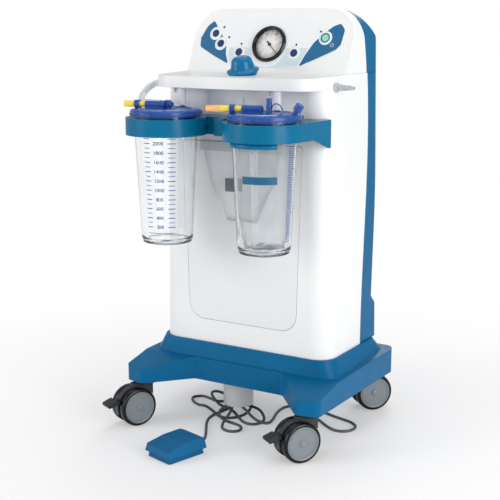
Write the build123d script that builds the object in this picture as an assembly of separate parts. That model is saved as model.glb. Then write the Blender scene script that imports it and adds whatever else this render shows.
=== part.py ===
from build123d import *
import math
import os

# Trolley vacuum aspirator: a cabinet on four twin-wheel casters, two collection jars
# in a carrier, a sloping control face, a foot pedal on a cord.
# Millimetres. X is across (+X on the right, seen from the front), +Y is to the back,
# +Z is up, z = 0 is the floor. Pieces are modelled about the cabinet's middle plane and
# are moved at the end, so that the origin is the middle of the footprint, on the floor.

# Clearances and walls
fit_gap = 0.3
running_gap = 0.05
seam_gap = 0.4
shell_wall = 3.0

# Cabinet
shell_bottom_z = 172.0
shell_top_z = 852.0
half_width_bottom = 197.0
half_width_top = 182.5
front_y = -106.0
front_radius = 38.0
rear_radius = 30.0
head_radius = 60.0
rear_foot_y = 115.0
rear_waist_y = 96.0
rear_mid_y = 120.0
rear_grip_y = 140.0
rear_foot_top_z = 245.0
rear_waist_z = 262.0
rear_mid_z = 520.0
rear_grip_z = 690.0
top_land = 25.0

# Head: ledge, bowed brow and sloping face
brow_y = -170.0
brow_corner_y = -160.0
brow_end_y = -78.0
brow_half_width = 184.0
brow_bottom_z = 699.0
brow_top_z = 721.5
face_foot_y = -19.2
face_foot_z = 725.5
gauge_z = 781.0
face_slope = 22.4

# Base moulding
base_bottom_z = 92.0
base_wall = 4.0
base_half_width = 226.0
base_rear_half_width = 231.0
base_rear_y = 150.0
base_front_y = -122.0
base_notch_half_width = 105.0
horn_tip_y = -207.0
horn_inner_x = 176.0
horn_top_z = 122.0
base_front_top_z = 139.0
base_rear_top_z = 144.0
plinth_half_width = 202.0
plinth_front_y = -111.0
plinth_rear_y = 121.0

# Casters
wheel_radius = 40.0
tyre_width = 19.0
disc_radius = 33.5
wheel_face_offset = 27.0
axle_radius = 4.0
caster_trail = 28.0
stem_radius = 5.5
stem_height = 22.0
plate_radius = 23.0
plate_thickness = 4.0
hood_half_width = 6.5
front_stem = (195.5, -175.0)
rear_stem = (159.0, 122.0)
swivel_angles = {"front_left": 246.0, "front_right": 237.0, "rear_left": 112.0, "rear_right": 48.0}
brake_width = 15.0
brake_reach = 24.0
brake_pin_radius = 2.5

# Jars, lids and carrier
jar_x = 110.5
jar_y = -205.0
jar_top_z = 648.0
jar_bottom_z = 402.0
jar_top_radius = 62.5
jar_foot_radius = 50.0
jar_wall = 2.5
jar_rim_radius = 68.0
jar_rim_thickness = 3.0
lid_radius = 69.0
lid_height = 12.0
lid_wall = 2.4
ring_radius = 78.0
ring_bottom_z = 612.0
ring_bore_clearance = 1.2
carrier_wall = 3.5
wing_x = 193.0
wing_end_y = -97.0
wing_drop = 20.0
bridge_y = -160.0
rib_half_width = 11.0
rib_y = -188.0
port_angles = {"left": 9.0, "right": 18.0}
port_radius = 7.0
port_axis_rise = 8.5
hump_length = 42.0
connector_radius = 5.6
connector_length = 23.0
collar_length = 10.0
collar_radius = 8.2
spout_bearing = 8.0
spout_lean = 35.0
elbow_spot = (0.0, 8.0)
elbow_bearing = 164.0
elbow_reach = 20.0
elbow_radius = 6.4
elbow_z = 669.5

# Front panel
panel_top_z = 592.0
panel_bottom_z = 220.5
panel_top_half_width = 136.5
panel_foot_half_width = 126.0
panel_corner_radius = 36.0
panel_gap = 0.8
dish_depth = 7.0
dish_top_z = 573.0
dish_bottom_z = 434.0
dish_top_half_width = 91.0
dish_foot_half_width = 36.0
latch_size = 26.0
latch_z = 505.0
latch_x = -27.0

# Controls, in the face's own plane: across and up the slope from the gauge's centre
gauge_radius = 38.0
gauge_window_radius = 33.0
gauge_depth = 30.0
overlay_thickness = 0.8
button_radius = 8.0
button_travel = 1.2
button_proud = 2.2
button_stem = 6.0
needle_angle = -44.0
collar_ring_radius = 11.5
led_radius = 2.2
button_spots = {"top_left": (-132.0, 22.0), "mid_left": (-115.0, 0.0), "low_left": (-67.0, -18.0),
                "low_right": (61.0, -18.5), "power": (125.0, 13.5)}
led_spots = [(-115.0, 36.0), (-98.0, 14.0), (-65.0, 0.0), (63.0, -1.0), (112.0, 27.0)]
knob_y = -99.0
knob_lean = 13.0
knob_flange_radius = 31.5
knob_dome_radius = 23.5
knob_height = 30.0
knob_lift = 7.0
knob_flutes = 10

# Ports on the head
barb_y = -66.0
barb_z = 703.0
barb_radii = [6.5, 5.6, 4.7]
barb_step = 9.0
barb_flange_radius = 9.5
barb_bore = 2.5
drop_tube_y = -152.0
drop_tube_x = 107.5
drop_tube_radius = 7.2
drop_tube_wall = 1.6
drop_port_radius = 5.4

# Foot pedal and cord
pedal_centre = (-33.0, -297.5)
pedal_turn = -16.0
pedal_width = 66.0
pedal_length = 88.0
pedal_base_height = 16.0
pedal_cover_height = 33.0
cord_radius = 3.0
hose_radius = 6.5

cord_rest_z = 3.2
cuff_length = 19.0
cuff_radius = 8.2
hose_bends = [(-228, -66.5, 702.5), (-240, -74, 695), (-243, -88, 686), (-239, -105, 678), (-229, -123, 673),
              (-213, -142, 670), (-196, -160, 669), (-178, -174, 669.3), (-160, -182.6, 669.5)]
front_cord = [(-66, -140, 3.2), (-80, -112, 3.2), (-84, -84, 3.2)]
rear_cord = [(4, -72, 3.2), (26, -84, 3.2), (44, -72, 3.2), (40, -44, 3.2), (25, -2, 3.2), (22, 40, 3.2),
             (50, 62, 3.2), (90, 64, 3.2), (126, 44, 3.2), (160, 34, 3.2), (192, 26, 3.2), (212, 4, 3.2),
             (206, -26, 3.2), (180, -36, 3.2), (150, -18, 3.2), (124, 4, 3.2), (96, 20, 3.2), (68, 29, 12)]
bundle_centre = (-72.0, -38.0)
bundle_half_length = 100.0
bundle_half_width = 58.0
bundle_turn = -16.0
bundle_height = 15.0
cord_gland_x = 60.0
cord_gland_y = 30.0
cowl_radius = 32.0
cowl_spot = (-48.0, -40.0)
cowl_low_z = 24.0

# Back of the cabinet
vent_rows = 6
vent_low_z = 300.0
vent_pitch = 14.0
vent_length = 150.0
vent_height = 6.0
inlet_width = 28.0
inlet_height = 48.0
inlet_z = 208.0

# Inside the cabinet
motor_radius = 46.0
motor_length = 110.0
chassis_thickness = 3.0


def put(part, name):
    part.label = name
    pieces[name] = part
    return part


def cylinder(radius, z_low, z_high, x=0.0, y=0.0):
    return Pos(x, y, (z_low + z_high) / 2) * Cylinder(radius, z_high - z_low)


def block(x_low, x_high, y_low, y_high, z_low, z_high):
    middle = Pos((x_low + x_high) / 2, (y_low + y_high) / 2, (z_low + z_high) / 2)
    return middle * Box(x_high - x_low, y_high - y_low, z_high - z_low)


def turned(profile):
    return revolve(make_face(Polyline(*[(r, 0, z) for r, z in profile], close=True)), Axis.Z)


def tube(radius, wall, z_low, z_high, x=0.0, y=0.0):
    return cylinder(radius, z_low, z_high, x, y) - cylinder(radius - wall, z_low - 1, z_high + 1, x, y)


def solids_of(*shapes):
    return Compound(children=[solid for shape in shapes for solid in shape.solids()])


# Cabinet form
def half_width_at(z):
    share = (z - shell_bottom_z) / (shell_top_z - shell_bottom_z)
    return half_width_bottom + share * (half_width_top - half_width_bottom)


def plan_section(z, inset):
    half = half_width_at(z) - inset
    low, high = front_y + inset, rear_grip_y - inset
    sketch = make_face(Polyline((-half, low), (half, low), (half, high), (-half, high), close=True))
    front = sketch.vertices().sort_by(Axis.Y)[:2]
    sketch = fillet(front, front_radius - inset)
    rear = sketch.vertices().sort_by(Axis.Y)[-2:]
    return Pos(0, 0, z) * fillet(rear, rear_radius - inset)


def side_outline(inset):
    ledge_y = brow_y - 4
    face_top_y = face_foot_y + (shell_top_z - face_foot_z) * math.tan(math.radians(face_slope))
    points = [(front_y, shell_bottom_z), (front_y, brow_bottom_z), (ledge_y, brow_bottom_z),
              (ledge_y, brow_top_z), (face_foot_y, face_foot_z), (face_top_y, shell_top_z),
              (face_top_y + top_land, shell_top_z), (rear_grip_y - 16, shell_top_z - 62),
              (rear_grip_y, rear_grip_z + 24),
              (rear_grip_y - 3, rear_grip_z - 20),
              (rear_mid_y, rear_mid_z), (rear_waist_y, rear_waist_z), (rear_foot_y, rear_foot_top_z),
              (rear_foot_y, shell_bottom_z)]
    outline = FilletPolyline(*[(y, z) for y, z in points], close=True,
                             radius=[0, 6, 0, 0, 10, 5, 14, 40, 30, 60, 200, 8, 3, 0])
    face = make_face(outline)
    if inset:
        face = offset(face, amount=-inset, kind=Kind.INTERSECTION)
    return Plane.YZ * face


def bow_plan(inset):
    half, side_y = brow_half_width, brow_end_y
    points = [(-half, 0), (-half, side_y), (-half + 13, brow_corner_y), (0, brow_y),
              (half - 13, brow_corner_y), (half, side_y), (half, 0)]
    face = make_face(FilletPolyline(*points, close=True, radius=[0, 60, 40, 600, 40, 60, 0]))
    return offset(face, amount=-inset, kind=Kind.INTERSECTION) if inset else face


def cabinet_form(inset):
    low, high = shell_bottom_z + inset, shell_top_z + 4
    trunk = loft([plan_section(low, inset), plan_section(high, inset)], ruled=True)
    brow = extrude(Pos(0, 0, brow_bottom_z + inset) * bow_plan(inset), face_foot_z - brow_bottom_z)
    reach = half_width_bottom + 10
    side = extrude(Pos(-reach, 0, 0) * side_outline(inset), 2 * reach)
    front = make_face(Polyline((-reach, low), (reach, low), (reach, shell_top_z - inset),
                               (-reach, shell_top_z - inset), close=True))
    head = make_face(Polyline((-half_width_top - 1, shell_bottom_z), (half_width_top + 1, shell_bottom_z),
                              (half_width_top + 1 - inset, shell_top_z - inset),
                              (-half_width_top - 1 + inset, shell_top_z - inset), close=True))
    tops = head.vertices().sort_by(Axis.Y)[-2:]
    head = fillet(tops, head_radius - inset) + make_face(Polyline(
        (-reach, low), (reach, low), (reach, face_foot_z), (-reach, face_foot_z), close=True))
    cutter = extrude(Plane.XZ.offset(-(rear_grip_y + 10)) * (head & front), rear_grip_y - brow_y + 20)
    return (trunk + brow) & side & cutter


# The seam between the white front and the blue rear bows backwards at mid height
seam_line = [(42.0, shell_bottom_z - 12), (52.0, 306.0), (70.0, 471.0), (79.0, shell_top_z - 179),
             (72.0, shell_top_z - 100), (58.0, shell_top_z - 37), (49.0, shell_top_z + 6)]


def seam_region(side, gap):
    line = Spline(*[(y + side * gap / 2, z) for y, z in seam_line])
    far = side * 400
    low, high = seam_line[0][1], seam_line[-1][1]
    frame = Polyline(line @ 1, (far, high), (far, low), line @ 0)
    region = Plane.YZ * make_face([line, frame])
    reach = half_width_bottom + 20
    return extrude(Pos(-reach, 0, 0) * region, 2 * reach)


def face_plane():
    slope = math.radians(face_slope)
    height = gauge_z - face_foot_z
    centre = (0, face_foot_y + height * math.tan(slope), face_foot_z + height)
    return Plane(origin=centre, x_dir=(1, 0, 0), z_dir=(0, -math.cos(slope), math.sin(slope)))


def on_face(part):
    return face_plane().location * part


def ledge_z(y):
    slope = (face_foot_z - brow_top_z) / (face_foot_y - brow_y + 4)
    return face_foot_z + (y - face_foot_y) * slope


def panel_face(inset):
    top, foot = panel_top_half_width - inset, panel_foot_half_width - inset
    low, high = panel_bottom_z + inset, panel_top_z - inset
    outline = FilletPolyline((-top, high), (-foot, low), (foot, low), (top, high), close=True,
                             radius=[6, panel_corner_radius - inset, panel_corner_radius - inset, 6])
    return Plane.XZ.offset(-front_y) * make_face(outline)


def dish_face(inset):
    top, foot = dish_top_half_width - inset, dish_foot_half_width - inset
    middle_z = dish_bottom_z + 0.28 * (dish_top_z - dish_bottom_z)
    outline = FilletPolyline((-top, dish_top_z + 10), (-top + 14, dish_top_z - 60), (-foot - 18, middle_z),
                             (-foot, dish_bottom_z + inset), (foot, dish_bottom_z + inset),
                             (foot + 18, middle_z), (top - 14, dish_top_z - 60), (top, dish_top_z + 10),
                             close=True, radius=[0, 40, 30, 8, 8, 30, 40, 0])
    return Plane.XZ.offset(-front_y) * make_face(outline)


def head_holes():
    cutters = [on_face(cylinder(gauge_window_radius + 1 + fit_gap, -20, 20))]
    for u, v in button_spots.values():
        cutters.append(on_face(cylinder(collar_ring_radius - 1.5 + fit_gap, -20, 20, u, v)))
    for u, v in led_spots:
        cutters.append(on_face(cylinder(led_radius + fit_gap, -20, 20, u, v)))
    cutters.append(knob_place() * cylinder(9 + fit_gap, -26, 10))
    for side in (-1, 1):
        reach = Pos(side * half_width_top, barb_y, barb_z) * Rot(0, 90, 0)
        cutters.append(reach * Cylinder(barb_radii[0] + fit_gap, 40))
        cutters.append(cylinder(drop_tube_radius + fit_gap, brow_bottom_z - 9, brow_bottom_z + 9,
                                side * drop_tube_x, drop_tube_y))
        cutters.append(cylinder(3 + fit_gap, brow_bottom_z - 9, brow_bottom_z + 9,
                                side * drop_tube_x - 17, drop_tube_y))
    return cutters


def front_shell(skin):
    shell = skin & seam_region(-1, seam_gap)
    shell -= extrude(panel_face(0), 8, both=True)
    for cutter in head_holes():
        shell -= cutter
    return shell


def rear_cover(skin):
    cover = skin & seam_region(1, seam_gap)
    grip = block(-70, 70, rear_grip_y - 34, rear_grip_y + 12, rear_grip_z - 26, rear_grip_z + 14)
    pocket = block(-73, 73, rear_grip_y - 37, rear_grip_y - 2, rear_grip_z - 29, rear_grip_z + 17)
    cover = cover + (pocket & cabinet_form(0)) - fillet(grip.edges().filter_by(Axis.Y), 12)
    for row in range(vent_rows):
        z = vent_low_z + row * vent_pitch
        slot = Pos(0, rear_foot_y, z) * Rot(90, 0, 0) * extrude(SlotOverall(vent_length, vent_height), 40, both=True)
        cover -= slot
    half = inlet_width / 2
    cover -= block(-half - fit_gap, half + fit_gap, rear_foot_y - 12, rear_foot_y + 12,
                   inlet_z - inlet_height / 2 - fit_gap, inlet_z + inlet_height / 2 + fit_gap)
    return cover


def service_panel():
    plate = extrude(panel_face(panel_gap), -shell_wall)
    dish = dish_face(0) & panel_face(panel_gap + 4)
    tray = extrude(dish_face(-shell_wall) & panel_face(panel_gap + 2), -(dish_depth + shell_wall))
    panel = plate + tray - extrude(dish, -dish_depth)
    latch = block(latch_x - latch_size / 2, latch_x + latch_size / 2, front_y + dish_depth - 4,
                  front_y + dish_depth, latch_z - latch_size / 2, latch_z + latch_size / 2)
    return panel, latch


# Base moulding: a deep slab with two horns in front, hollow from below, with ribs
def base_plan(inset):
    half, rear_half = base_half_width, base_rear_half_width
    right = [(rear_half, base_rear_y), (half, horn_tip_y + 9), (horn_inner_x + 5, horn_tip_y - 1),
             (base_notch_half_width, base_front_y)]
    left = [(-x, y) for x, y in reversed(right)]
    outline = FilletPolyline(*(right + left), close=True, radius=[24, 14, 10, 16, 16, 10, 14, 24])
    face = make_face(outline)
    return offset(face, amount=-inset) if inset else face


def rounded_section(half, low, high, z, radius):
    middle = (low + high) / 2
    return Pos(0, middle, z) * RectangleRounded(2 * half, high - low, radius)


def base_form(inset, low):
    slab = extrude(Pos(0, 0, low) * base_plan(inset), 80)
    rise = (base_front_top_z - horn_top_z) / (base_front_y - horn_tip_y)
    profile = Polyline((horn_tip_y - 10, low), (horn_tip_y - 10, horn_top_z - 10 * rise - inset),
                       (base_front_y, base_front_top_z - inset), (base_rear_y + 10, base_rear_top_z - inset),
                       (base_rear_y + 10, low), close=True)
    reach = base_rear_half_width + 10
    slab &= extrude(Pos(-reach, 0, 0) * (Plane.YZ * make_face(profile)), 2 * reach)
    shoulder = loft([rounded_section(base_half_width - 10 - inset, base_front_y + 5 + inset,
                                     base_rear_y - 7 - inset, base_front_top_z - 3 - inset, 30),
                     rounded_section(plinth_half_width - inset, plinth_front_y + inset,
                                     plinth_rear_y - inset, shell_bottom_z - inset, front_radius)])
    return slab + shoulder


def base_moulding():
    hollow = base_form(base_wall, base_bottom_z - 1)
    base = base_form(0, base_bottom_z)
    stems = caster_stems().values()
    ribs = [block(x - 2, x + 2, base_front_y - 60, base_rear_y, base_bottom_z + 6, shell_bottom_z)
            for x in (-145.0, -70.0, 70.0, 145.0)]
    ribs += [block(-base_half_width, base_half_width, y - 2, y + 2, base_bottom_z + 6, shell_bottom_z)
             for y in (-80.0, 20.0, 90.0)]
    bosses = [cylinder(stem_radius + 8, base_bottom_z, base_bottom_z + stem_height + 14, x, y) for x, y in stems]
    bosses.append(cylinder(cowl_radius, base_bottom_z, shell_bottom_z, *cowl_spot)
                  - cylinder(cowl_radius - 3, base_bottom_z - 1, shell_bottom_z + 1, *cowl_spot))
    bosses.append(cylinder(11, base_bottom_z, shell_bottom_z, cord_gland_x, cord_gland_y))
    core = (bosses[0] + bosses[1:] + ribs) & hollow
    base = base - hollow + core
    for x, y in stems:
        base -= cylinder(stem_radius + running_gap, base_bottom_z - 5, base_bottom_z + stem_height + 1, x, y)
    return base


# Casters, built round the stem at the origin and rolling along X, then turned and placed
def caster_stems():
    spots = {}
    for name in swivel_angles:
        x, y = front_stem if name.startswith("front") else rear_stem
        spots[name] = (x if name.endswith("right") else -x, y)
    return spots


def caster_place(name):
    x, y = caster_stems()[name]
    return Pos(x, y, 0) * Rot(0, 0, swivel_angles[name])


def wheel_profile(points):
    face = make_face(Polyline(*[(r, across) for across, r in points], close=True))
    return Pos(caster_trail, 0, wheel_radius) * revolve(Plane.XY * face, Axis.Y)


def caster_wheels():
    outer, inner = wheel_face_offset - 1, wheel_face_offset - tyre_width
    bore = axle_radius + running_gap
    tread = wheel_radius
    tyre = wheel_profile([(inner + 1, disc_radius), (inner, tread - 4), (inner + 2, tread - 1), (inner + 5, tread),
                          (outer - 4, tread), (outer - 1, tread - 1.5), (outer, tread - 4), (outer, disc_radius)])
    disc = wheel_profile([(inner + 1, bore), (inner + 1, disc_radius), (outer + 0.4, disc_radius),
                          (outer + 1.0, disc_radius - 1), (outer - 0.2, disc_radius - 3.5),
                          (outer - 0.6, axle_radius + 5), (outer - 0.6, bore)])
    return [solids_of(half, mirror(half, Plane.XZ)) for half in (tyre, disc)]


def caster_frame():
    top = base_bottom_z - fit_gap - plate_thickness
    hood = extrude(Plane.XZ * (Pos(caster_trail, wheel_radius) * Circle(wheel_radius + 1.5)), hood_half_width,
                   both=True)
    low_cut = block(-60, 110, -20, 20, -10, wheel_radius - 14)
    front_cut = block(-60, caster_trail - wheel_radius + 9, -20, 20, -10, top + 20)
    neck = block(-17, caster_trail + 6, -hood_half_width, hood_half_width, wheel_radius + 18, top)
    hood = hood - low_cut - front_cut + fillet(neck.edges().filter_by(Axis.Z), 5)
    hood -= Pos(caster_trail, 0, wheel_radius) * Rot(90, 0, 0) * Cylinder(axle_radius, 60)
    axle = Pos(caster_trail, 0, wheel_radius) * Rot(90, 0, 0) * Cylinder(axle_radius, 2 * wheel_face_offset - 4)
    stem = cylinder(stem_radius, top + plate_thickness, base_bottom_z + stem_height)
    plate = cylinder(plate_radius, top, top + plate_thickness) + stem
    return solids_of(hood), solids_of(axle), solids_of(chamfer(plate.edges().group_by(Axis.Z)[0], 1.5))


def brake_pivot():
    return Pos(caster_trail + wheel_radius + 2, 0, wheel_radius + 15)


def brake_lever():
    hub = Rot(90, 0, 0) * Cylinder(brake_pin_radius + 3.5, brake_width)
    pad = extrude(Plane.XZ * make_face(FilletPolyline(
        (3, -4), (brake_reach, -9), (brake_reach + 1, -1), (4, 6), close=True, radius=[1, 3, 3, 1])),
        brake_width / 2 + 6, both=True)
    ears = Rot(90, 0, 0) * Cylinder(brake_pin_radius + running_gap, 60)
    slot = block(-20, 6.5, -hood_half_width - fit_gap, hood_half_width + fit_gap, -20, 20)
    return brake_pivot() * (hub + pad - slot - ears)


def caster(name):
    hood, axle, plate = caster_frame()
    place = caster_place(name)
    if name.startswith("front"):
        lug = brake_pivot() * Rot(90, 0, 0) * Cylinder(brake_pin_radius + 2.5, 2 * hood_half_width)
        pin = brake_pivot() * Rot(90, 0, 0) * Cylinder(brake_pin_radius, brake_width + 10)
        hood = solids_of(hood + lug + pin)
        put(place * brake_lever(), f"brake_lever_{name}")
    tyres, discs = caster_wheels()
    put(place * solids_of(hood, axle, plate), f"caster_{name}")
    put(place * tyres, f"tyres_{name}")
    put(place * discs, f"wheel_discs_{name}")


# Jar carrier: a deck with a deep skirt, two rings and wings that meet the cabinet's corners
def carrier_outline(inset):
    rings = [Pos(side * jar_x, jar_y) * Circle(ring_radius - inset) for side in (-1, 1)]
    wing = wing_x - inset
    start = jar_x + ring_radius - inset
    deck = make_face(Polyline((start, jar_y), (wing, wing_end_y - inset), (wing - 24, front_y + 30),
                              (-wing + 24, front_y + 30), (-wing, wing_end_y - inset), (-start, jar_y),
                              (-jar_x, jar_y), (-jar_x, bridge_y + inset), (jar_x, bridge_y + inset),
                              (jar_x, jar_y), close=True))
    rib = Pos(0, (rib_y + bridge_y) / 2 + inset) * Rectangle(2 * (rib_half_width - inset), bridge_y - rib_y)
    return rings[0] + rings[1] + deck + rib


def jar_radius_at(z):
    share = (z - jar_bottom_z) / (jar_top_z - jar_bottom_z)
    return jar_foot_radius + share * (jar_top_radius - jar_foot_radius)


def carrier_skirt(inset, low, high):
    body = extrude(Pos(0, 0, low) * carrier_outline(inset), high - low)
    profile = Polyline((jar_y - 100, high), (jar_y - 100, ring_bottom_z), (bridge_y, ring_bottom_z),
                       (wing_end_y - 8, ring_bottom_z - wing_drop), (0, ring_bottom_z - wing_drop),
                       (0, high), close=True)
    return body & extrude(Pos(-250, 0, 0) * (Plane.YZ * make_face(profile)), 500)


def jar_carrier():
    top = jar_top_z - jar_rim_thickness
    bore = jar_radius_at(top) + ring_bore_clearance
    carrier = carrier_skirt(0, ring_bottom_z - wing_drop, top)
    hollow = extrude(Pos(0, 0, 500) * carrier_outline(carrier_wall), top - carrier_wall - 500)
    hollow &= extrude(Pos(0, 0, 500) * Pos(0, bridge_y + 82) * Rectangle(2 * wing_x, 2 * 78), 200)
    sleeves = [cylinder(bore + carrier_wall, 500, 700, side * jar_x, jar_y) for side in (-1, 1)]
    carrier -= hollow - sleeves[0] - sleeves[1]
    for side in (-1, 1):
        carrier -= cylinder(bore, 500, 700, side * jar_x, jar_y)
    keep_out = extrude(plan_section(500, -fit_gap), 200)
    return carrier - keep_out


def jar(side):
    foot, wall = jar_foot_radius, jar_wall
    rim_low = jar_top_z - jar_rim_thickness
    throat = jar_radius_at(rim_low)
    outline = FilletPolyline((0, 0, jar_bottom_z + 3), (foot - 14, 0, jar_bottom_z + 3), (foot - 12, 0, jar_bottom_z),
                             (foot, 0, jar_bottom_z), (throat, 0, rim_low), radius=[1, 1, 10])
    inner = FilletPolyline((throat - wall, 0, jar_top_z), (foot - wall, 0, jar_bottom_z + 6),
                           (0, 0, jar_bottom_z + 6), radius=[8])
    rim = Polyline((throat, 0, rim_low), (jar_rim_radius, 0, rim_low), (jar_rim_radius, 0, jar_top_z),
                   (throat - wall, 0, jar_top_z))
    axis = Polyline((0, 0, jar_bottom_z + 6), (0, 0, jar_bottom_z + 3))
    profile = make_face([outline, rim, inner, axis])
    return Pos(side * jar_x, jar_y, 0) * revolve(profile, Axis.Z)


def liner_bag():
    outer = [(jar_radius_at(z) - jar_wall - 1.2 - sag, z) for z, sag in
             ((jar_top_z - 14, 0), (jar_top_z - 90, 2.0), (jar_bottom_z + 110, 3.0), (jar_bottom_z + 52, 5.0))]
    inner = [(r - 1.0, z) for r, z in reversed(outer)]
    floor_z = jar_bottom_z + 18
    lip = jar_top_z
    profile = [(0, floor_z), (jar_foot_radius - 22, floor_z - 4)] + outer[::-1] + [(outer[0][0], lip)]
    profile += [(outer[0][0] - 1.0, lip)] + inner[::-1] + [(jar_foot_radius - 23, floor_z - 2.6), (0, floor_z + 1.2)]
    return Pos(jar_x, jar_y, 0) * turned(profile)


# Lids carry a level patient port, upright ports and a tethered cap
def port_direction(side):
    angle = port_angles["left" if side < 0 else "right"]
    return Rot(0, 0, 180 + angle)


def lid_base():
    low = jar_top_z
    inner = jar_top_radius - jar_wall - 3
    profile = [(0, low + lid_height - lid_wall - 1), (inner - 2, low + lid_height - lid_wall - 1), (inner - 2, low - 7),
               (inner, low - 7), (inner, low), (lid_radius, low), (lid_radius, low + lid_height - 2.5),
               (lid_radius - 2, low + lid_height), (lid_radius - 9, low + lid_height + 0.6), (0, low + lid_height + 2)]
    return turned(profile)


def level_tube(radius, start, end, rise):
    return Pos((start + end) / 2, 0, rise) * Rot(0, 90, 0) * Cylinder(radius, end - start)


def lid(side):
    top = jar_top_z + lid_height
    rise = top + port_axis_rise
    hump = fillet(level_tube(port_radius, 2, hump_length, rise).edges().group_by(Axis.X)[0], 5)
    foot = block(4, hump_length, -port_radius + 1, port_radius - 1, top - 2, rise)
    shape = lid_base() + port_direction(side) * (hump + foot)
    shape -= port_direction(side) * level_tube(connector_radius - 1.6, 10, hump_length + 5, rise)
    drop = Pos(side * (drop_tube_x - jar_x), drop_tube_y - jar_y, 0)
    shape += drop * cylinder(drop_port_radius, top - 1, top + 14)
    if side > 0:
        shape += cylinder(5.2, top - 1, top + 29, 13, -6) + cylinder(6.2, top + 1, top + 6, 13, -6)
        shape -= cylinder(3.2, top + 4, top + 30, 13, -6)
        shape += spout_place() * Cylinder(4.6, 16)
    else:
        shape += cylinder(elbow_radius + 0.8, top - 1, top + 3, *elbow_spot)
    return Pos(side * jar_x, jar_y, 0) * shape


def spout_place():
    spot = Vector(lid_radius - 8, 0, jar_top_z + lid_height + 5).rotate(Axis.Z, spout_bearing)
    return Pos(*spot) * Rot(0, 0, spout_bearing) * Rot(0, spout_lean, 0)


def spout_cap():
    cup = Pos(0, 0, 10) * Cylinder(8, 13) - Pos(0, 0, 5.5) * Cylinder(4.6 + fit_gap, 6)
    cup = fillet(cup.edges().group_by(Axis.Z)[-1], 2)
    return Pos(jar_x, jar_y, 0) * spout_place() * cup


def patient_port(side):
    rise = jar_top_z + lid_height + port_axis_rise
    start = hump_length + fit_gap
    body = level_tube(connector_radius, start, start + 13, rise)
    collar_end = start + 13 + collar_length
    collar = level_tube(collar_radius, start + 13, collar_end, rise)
    nose = level_tube(connector_radius + 0.6, collar_end, collar_end + connector_length, rise)
    bore = level_tube(connector_radius - 1.6, start - 1, collar_end + 80, rise)
    if side > 0:
        tip = level_tube(connector_radius, collar_end + connector_length, collar_end + 2 * connector_length - 1, rise)
        nose += tip
    place = Pos(side * jar_x, jar_y, 0) * port_direction(side)
    return place * (body + nose - bore), place * (collar - bore)


def elbow():
    x, y = elbow_spot
    low = jar_top_z + lid_height + 3
    post = cylinder(elbow_radius, low + fit_gap, elbow_z + elbow_radius + 1, x, y)
    arm = Pos(x, y, elbow_z) * Rot(0, 0, elbow_bearing) * Rot(0, 90, 0)
    arm_solid = arm * Pos(0, 0, elbow_reach / 2) * Cylinder(elbow_radius - 0.6, elbow_reach)
    stub = Pos(x, y, elbow_z) * Rot(0, 0, elbow_bearing + 180) * Rot(0, 90, 0) * Pos(0, 0, 6) * Cylinder(5, 12)
    return Pos(-jar_x, jar_y, 0) * (post + arm_solid + stub)


# Controls, drawn in the face's plane and placed on it
def overlay():
    outline = FilletPolyline((-146, 51), (0, 59), (155, 44), (165, 30), (161, -4), (77, -47), (0, -53),
                             (-88, -45), (-166, -8), (-168, 14), close=True,
                             radius=[10, 300, 8, 10, 14, 12, 120, 12, 10, 14])
    film = extrude(make_face(outline), overlay_thickness)
    film -= cylinder(gauge_radius + fit_gap, -5, 5)
    for u, v in button_spots.values():
        film -= cylinder(collar_ring_radius + fit_gap, -5, 5, u, v)
    for u, v in led_spots:
        film -= cylinder(led_radius + fit_gap, -5, 5, u, v)
    return on_face(Pos(0, 0, fit_gap / 3) * film)


def gauge():
    r, window = gauge_radius, gauge_window_radius
    case = turned([(0, -gauge_depth), (window - 1, -gauge_depth), (window, -gauge_depth + 1), (window, 0),
                   (r, 0), (r, 3.5), (r - 1.5, 5.5), (window + 0.5, 5.5), (window - 1, 4), (window - 1, -3),
                   (0, -3)])
    case += cylinder(7, -gauge_depth - 14, -gauge_depth)
    dial = cylinder(window - 1.1, -3, -2.2) + cylinder(1.2, -2.2, 1.2)
    needle = cylinder(3.4, -0.9, 0.6) + Rot(0, 0, needle_angle) * extrude(make_face(Polyline(
        (-9, -1.8), (-2, -1), (24, -0.35), (24, 0.35), (-2, 1), (-9, 1.8), close=True)), 0.6)
    needle -= cylinder(1.2 + running_gap, -5, 5)
    lens = cylinder(window - 1.1, 2.2, 3.6)
    put(on_face(solids_of(case, dial)), "gauge_case")
    put(on_face(needle), "gauge_needle")
    put(on_face(lens), "gauge_lens")


def buttons():
    rings, seat = [], overlay_thickness + fit_gap
    for name, (u, v) in button_spots.items():
        inner = button_radius + fit_gap
        ring = turned([(inner, -6), (collar_ring_radius - 1.5, -6), (collar_ring_radius - 1.5, 0.05),
                       (collar_ring_radius, 0.05), (collar_ring_radius, seat + 0.6), (inner + 1, seat + 1.4),
                       (inner, seat + 1.0)])
        rings.append(on_face(Pos(u, v, 0) * ring))
        cap = cylinder(button_radius, -5, button_proud)
        cap = fillet(cap.edges().group_by(Axis.Z)[-1], 0.9) + cylinder(3, -5 - button_stem, -5)
        put(on_face(Pos(u, v, 0) * cap), f"{name}_button")
    put(solids_of(*rings), "button_collars")
    lenses = [on_face(cylinder(led_radius, -6, seat, u, v)) for u, v in led_spots]
    put(solids_of(*lenses), "indicator_lenses")


def control_board():
    depth = 5 + button_stem + button_travel + 0.6
    board = on_face(block(-148, 148, -42, 36, -depth - 5, -depth - 3.4))
    board -= on_face(cylinder(gauge_window_radius + 4, -60, 10))
    switches = []
    for u, v in button_spots.values():
        switches.append(on_face(cylinder(3.2, -depth - 3.4, -depth, u, v)))
    stalks = [on_face(cylinder(1.4, -depth - 3.4, -6, u, v)) for u, v in led_spots]
    return solids_of(board, *switches, *stalks)


def knob_place():
    return Pos(0, knob_y, ledge_z(knob_y) + knob_lift) * Rot(knob_lean, 0, 0)


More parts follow.
